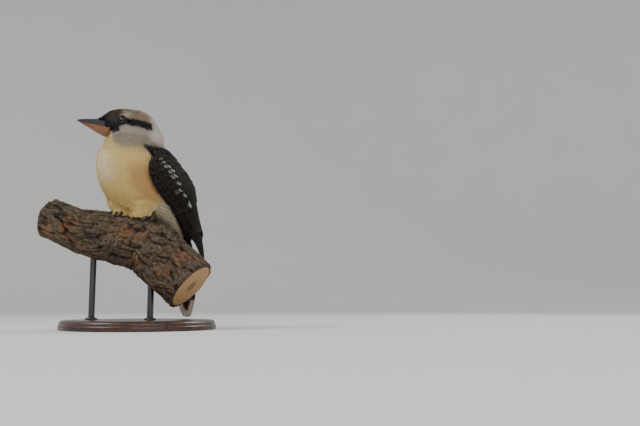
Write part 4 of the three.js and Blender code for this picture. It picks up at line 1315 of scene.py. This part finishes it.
def makePerch():
    rows, sides = perch["rows"], perch["sides"]
    share, angle = gridOf(np.linspace(0, 1, rows), np.linspace(0, 360, sides, endpoint=False))
    turn = np.radians(angle)
    relief = barkRelief(share, turn)
    rings = barkPoint(share, angle, relief)
    points = rings.reshape(-1, 3)
    place = np.stack([relief, share * 40, turn], -1).reshape(-1, 3)
    triangles = facingOut(points, gridTriangles(rows, sides, True))
    makePiece("perchBark", partOf(points, triangles, place=place), barkFinish(), ["perch"])
    ends = []
    steps = np.concatenate([np.linspace(0.02, 0.96, perch["endSteps"]), [1.0]])
    j = np.arange(sides)
    middleFan = np.stack([np.full(sides, len(steps) * sides), j, (j + 1) % sides], -1)
    for row, nextRow in ((0, 1), (rows - 1, rows - 2)):
        rim, middle = rings[row], rings[row].mean(0)
        inward = unit(rings[nextRow].mean(0) - middle) * perch["hollow"]
        disc = middle + (rim - middle)[None] * steps[:, None, None] - inward * (1 - steps ** 8)[:, None, None]
        reach = np.linalg.norm(disc - middle, axis=-1)
        place = np.stack([reach, np.full(reach.shape, row * 0.1), np.broadcast_to(turn[0], reach.shape)], -1)
        faces = np.concatenate([gridTriangles(len(steps), sides, True), middleFan])
        ends.append(partOf(np.concatenate([disc.reshape(-1, 3), (middle - inward)[None]]),
                           faces[:, ::-1] if row == 0 else faces,
                           place=np.concatenate([place.reshape(-1, 3), [[0, row * 0.1, 0]]])))
    makePiece("perchSawnEnds", joinParts(ends), sawnFinish())


makePerch()
print("perch ready")


# Fluff: soft belly feathers hanging round the legs down to the bark
fluff = {
    "middle": (0.0, -12.0),
    "heights": (5, 12, 20, 28),  # where the body's reach is taken
    "hem": (-7, 0.78),  # the lowest row's height, and its share of the reach above it
    "insets": (0, 2.0, 3.2, 4.8, 8.0),
    "clearance": 1.4,  # above the bark
    "alongs": (0.9, 3.2),
    "angles": (-200, 20),
    "look": {"rootLift": -1.6, "tipLift": 0.9, "unruly": 0.9, "splay": 0.16},
    # look, spacing, length, width and seeds
    "kinds": ((contourLook, 2.3, 15, 5.2, 28, 7), (wispLook, 1.3, 14, 1.0, 25, 4)),
}


def barkHeight(x, y):
    run, off = branchPlace(x, y)
    alongs, tops, radii = np.transpose(perchShape)
    radius = np.interp(run, alongs, radii)
    return np.interp(run, alongs, tops) - radius + np.sqrt(np.maximum(radius ** 2 - off ** 2, 0))


def makeFluff():
    middle = np.array(fluff["middle"])
    body = bodySheet.data[..., :3].reshape(-1, 3)
    away = body[:, :2] - middle
    turn, reach = np.degrees(np.arctan2(away[:, 1], away[:, 0])), np.hypot(away[:, 0], away[:, 1])
    ring = np.linspace(-180, 180, 73)
    levels = []
    for height in fluff["heights"]:
        near = np.abs(body[:, 2] - height) < 2.5
        radius = []
        for heading in ring:
            beside = np.abs((turn - heading + 180) % 360 - 180) < 6
            radius.append(reach[near & beside].max(initial=8))
        wrapped = radius[-4:-1] + radius + radius[1:4]
        levels.append(np.convolve(wrapped, np.ones(7) / 7, "valid"))
    hem, hemShare = fluff["hem"]
    levels = np.array([levels[0] * hemShare] + levels) - np.array(fluff["insets"])[:, None]

    def hanging(along, angle):
        radius = curveAt(np.array([np.interp(angle[0], ring, level) for level in levels]), along[:, 0])
        x = middle[0] + radius * np.cos(np.radians(angle))
        y = middle[1] + radius * np.sin(np.radians(angle))
        z = np.interp(along, range(5), (hem, *fluff["heights"]))
        return np.stack([x, y, np.maximum(z, barkHeight(x, y) + fluff["clearance"])], -1)

    sheet = Sheet(hanging, 4, (-180, 180), (80, 241), closed=True)
    where = np.flatnonzero(body[:, 2] < 60)
    tree = treeOf(body[where])

    def nearestUv(along, angle):
        found = where[[tree.find(point)[1] for point in sheet.at(along, angle)]]
        rows, columns = bodySteps
        return bodyUv(found // columns * bodyLast / (rows - 1), found % columns * 360 / (columns - 1) - 180)

    parts = []
    for look, spacing, length, width, scatterSeed, seed in fluff["kinds"]:
        along, angle = sheet.scatter(steady(spacing), fluff["alongs"], fluff["angles"], scatterSeed)
        fading = np.random.default_rng(seed).uniform(0, 1, len(along)) < smooth(along, 3.2, 1.9)
        along, angle = along[fading], angle[fading]
        sizes = (np.full(len(along), size) for size in (length, width))
        parts.append(feathersOn(sheet, along, angle, *sizes, {**look, **fluff["look"]}, seed, nearestUv))
    makePiece("coatFluff", joinParts(parts), plumage)


makeFluff()
print("fluff ready")


# Feet: a toe's length, its spread outward and whether it points forward
toes = [(20, -9, 1), (29, 0, 1), (25, 6, 1), (17, 1, -1)]
foot = {"spread": 25, "radius": 2.7, "thinning": 0.25, "joint": 0.35, "scute": 0.1, "shift": 2.2, "claw": 10,
        "clawRadii": (1.7, 0.2), "kneeAside": 27, "kneeHeight": 34.0, "toeSteps": (30, 16),
        "clawSteps": (14, 12)}


def footPoint(side, reach, aside, height):
    share = perchShare(side * foot["spread"] + aside)
    return barkPoint(share, 90 - math.degrees(reach / perchRadius(share)), height)


def makeFeet():
    scales, horn = scaleFinish(), clawFinish()
    for side, name in ((1, "Left"), (-1, "Right")):
        flesh, claws = [], []
        for length, spreadOut, forward in toes:
            shift = math.copysign(foot["shift"], spreadOut) if forward > 0 and spreadOut else 0
            path, radii = [], []
            for share in np.linspace(0, 1, foot["toeSteps"][0]):
                joint = abs(math.sin(share * math.pi * 3)) * foot["joint"]
                radius = foot["radius"] * (1 - foot["thinning"] * share) + joint
                path.append(footPoint(side, forward * length * share, -side * (spreadOut * share + shift),
                                      radius + 0.5))
                radii.append(radius + foot["scute"] * math.sin(share * length * 4.2))
            flesh.append(tubeBody(path, radii, foot["toeSteps"][1]))
            path, radii = [], []
            for share in np.linspace(0, 1, foot["clawSteps"][0]):
                reach = forward * (length - 1.5 + foot["claw"] * share)
                height = 2.6 + 1.6 * math.sin(share * math.pi) - 1.3 * share * share
                path.append(footPoint(side, reach, -side * (spreadOut * 1.1 + shift), height))
                radii.append(blendOf(*foot["clawRadii"], share ** 0.8))
            claws.append(tubeBody(path, radii, foot["clawSteps"][1]))
        heel = footPoint(side, 0, 0, 3.6)
        knee = np.array([side * foot["kneeAside"], heel[1] - 4, foot["kneeHeight"]])
        shin = [heel + (0, 0, rise) for rise in (-3, -1.5, 0, 2, 6)] + [blendOf(heel, knee, 0.5)]
        flesh.append(tubeBody(shin, [1.5, 4.2, 4.8, 4.2, 3.6, 3.4], 18))
        makePiece(f"foot{name}", joinParts(flesh), scales, [f"foot_{name.lower()}"])
        makePiece(f"claws{name}", joinParts(claws), horn)


makeFeet()
print("feet ready")


# Stand: the base's rim as insets and heights, and a rod's collar as radii and heights
stand = {
    "rim": [(1.2, 0), (0.3, 0.3), (0, 1.2), (0, 6), (0.4, 7), (1.4, 7.5), (1.6, 8.3), (1.2, 9), (1.8, 11.4),
            (3.4, 13.4), (5.6, 14.6), (8, 15)],
    "rimSides": 200,
    "rod": 5,
    "rodSteps": (8, 40),
    "collarSides": 48,
    "collar": [(5.2, 0.05), (9.4, 0.05), (9.8, 0.5), (9.8, 1.8), (9.2, 2.6), (7, 3), (6.2, 3.8), (5.6, 4.2),
               (5.05, 4.2)],
}


def boxOf(node):
    return (np.array(corner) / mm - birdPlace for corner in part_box(node))


def makeStand():
    low, high = boxOf("stand_base")
    radius, middle, floor = (high[0] - low[0]) / 2, (low + high) / 2, high[2]
    rim = [(radius - inset, height) for inset, height in stand["rim"]]
    rings = latheRings([(0.01, 0), *rim, (0.01, rim[-1][1])], (*middle[:2], low[2]), stand["rimSides"])
    makePiece("standBase", ringBody(rings), standFinish(), ["stand_base"], smoothShade=False)
    metal = rodFinish()
    for n in (1, 2):
        low, high = boxOf(f"stand_rod_{n}")
        x, y = (low[:2] + high[:2]) / 2
        rows, sides = stand["rodSteps"]
        rod = tubeBody([(x, y, z) for z in np.linspace(low[2], high[2], rows)], [stand["rod"]] * rows, sides)
        collar = ringBody(latheRings(stand["collar"], (x, y, floor), stand["collarSides"]))
        makePiece(f"standRod{n}", joinParts([rod, collar]), metal, [f"stand_rod_{n}"])


makeStand()
print("stand ready")


# Floor, light and camera
studio = {
    "flat": 2600,  # the floor's radius, before it curves up
    "curve": 900,
    "wall": 2600,
    "sides": 96,
    "air": 0.5,
    "lamps": (("key", (-0.6, -1.6, 1.9), 1.2, 32), ("fill", (1.9, -0.9, 1.2), 1.6, 16),
              ("rim", (0.4, 1.9, 1.7), 1.0, 20)),  # place, size and power
    "aim": (0, 0, 0.24),
}
view = {"azimuth": 54, "distance": 1200, "height": 40, "yaw": 129.84, "pitch": 7.13, "focal": 727,
        "imageWidth": 640}


def makeStudio():
    f = Finish("studio", Roughness=0.9)
    f.feed(Base_Color=f.paint(colour(226, 226, 224), (colour(220, 220, 219), f.noise(f.objectPlace(), 3.0))))
    flat, curve = studio["flat"], studio["curve"]
    profile = [(0.01, 0), (1500, 0), (flat, 0)]
    for turn in np.linspace(0.1, math.pi / 2, 12):
        profile.append((flat + curve * math.sin(turn), curve - curve * math.cos(turn)))
    profile.append((flat + curve, studio["wall"]))
    rings = latheRings(profile, -birdPlace - (0, 0, 0.05), studio["sides"])
    part = partOf(rings, gridTriangles(len(profile), studio["sides"], True))
    makeObject("floor", part, f.material)
    world = bpy.data.worlds.new("studioAir")
    bpy.context.scene.world = world
    world.use_nodes = True
    air = world.node_tree.nodes["Background"].inputs
    air[0].default_value, air[1].default_value = (1, 1, 1, 1), studio["air"]
    for name, place, size, power in studio["lamps"]:
        lamp = bpy.data.lights.new(name, "AREA")
        lamp.energy, lamp.size, lamp.shape = power, size, "DISK"
        light = bpy.data.objects.new(name, lamp)
        light.location = place
        light.rotation_euler = (Vector(studio["aim"]) - light.location).to_track_quat("-Z", "Y").to_euler()
        bpy.context.scene.collection.objects.link(light)


def makeCamera():
    data = bpy.data.cameras.new("camera")
    data.sensor_width, data.lens = 36, 36 * view["focal"] / view["imageWidth"]
    data.clip_start, data.clip_end = 0.05, 20
    camera = bpy.data.objects.new("camera", data)
    side, yaw, pitch = (math.radians(view[key]) for key in ("azimuth", "yaw", "pitch"))
    camera.location = Vector((birdPlace[0] + view["distance"] * math.sin(side),
                              birdPlace[1] - view["distance"] * math.cos(side), view["height"])) * mm
    ahead = Vector((math.cos(yaw) * math.cos(pitch), math.sin(yaw) * math.cos(pitch), math.sin(pitch)))
    camera.rotation_euler = ahead.to_track_quat("-Z", "Y").to_euler()
    bpy.context.scene.collection.objects.link(camera)
    bpy.context.scene.camera = camera


makeStudio()
makeCamera()
print("studio ready")
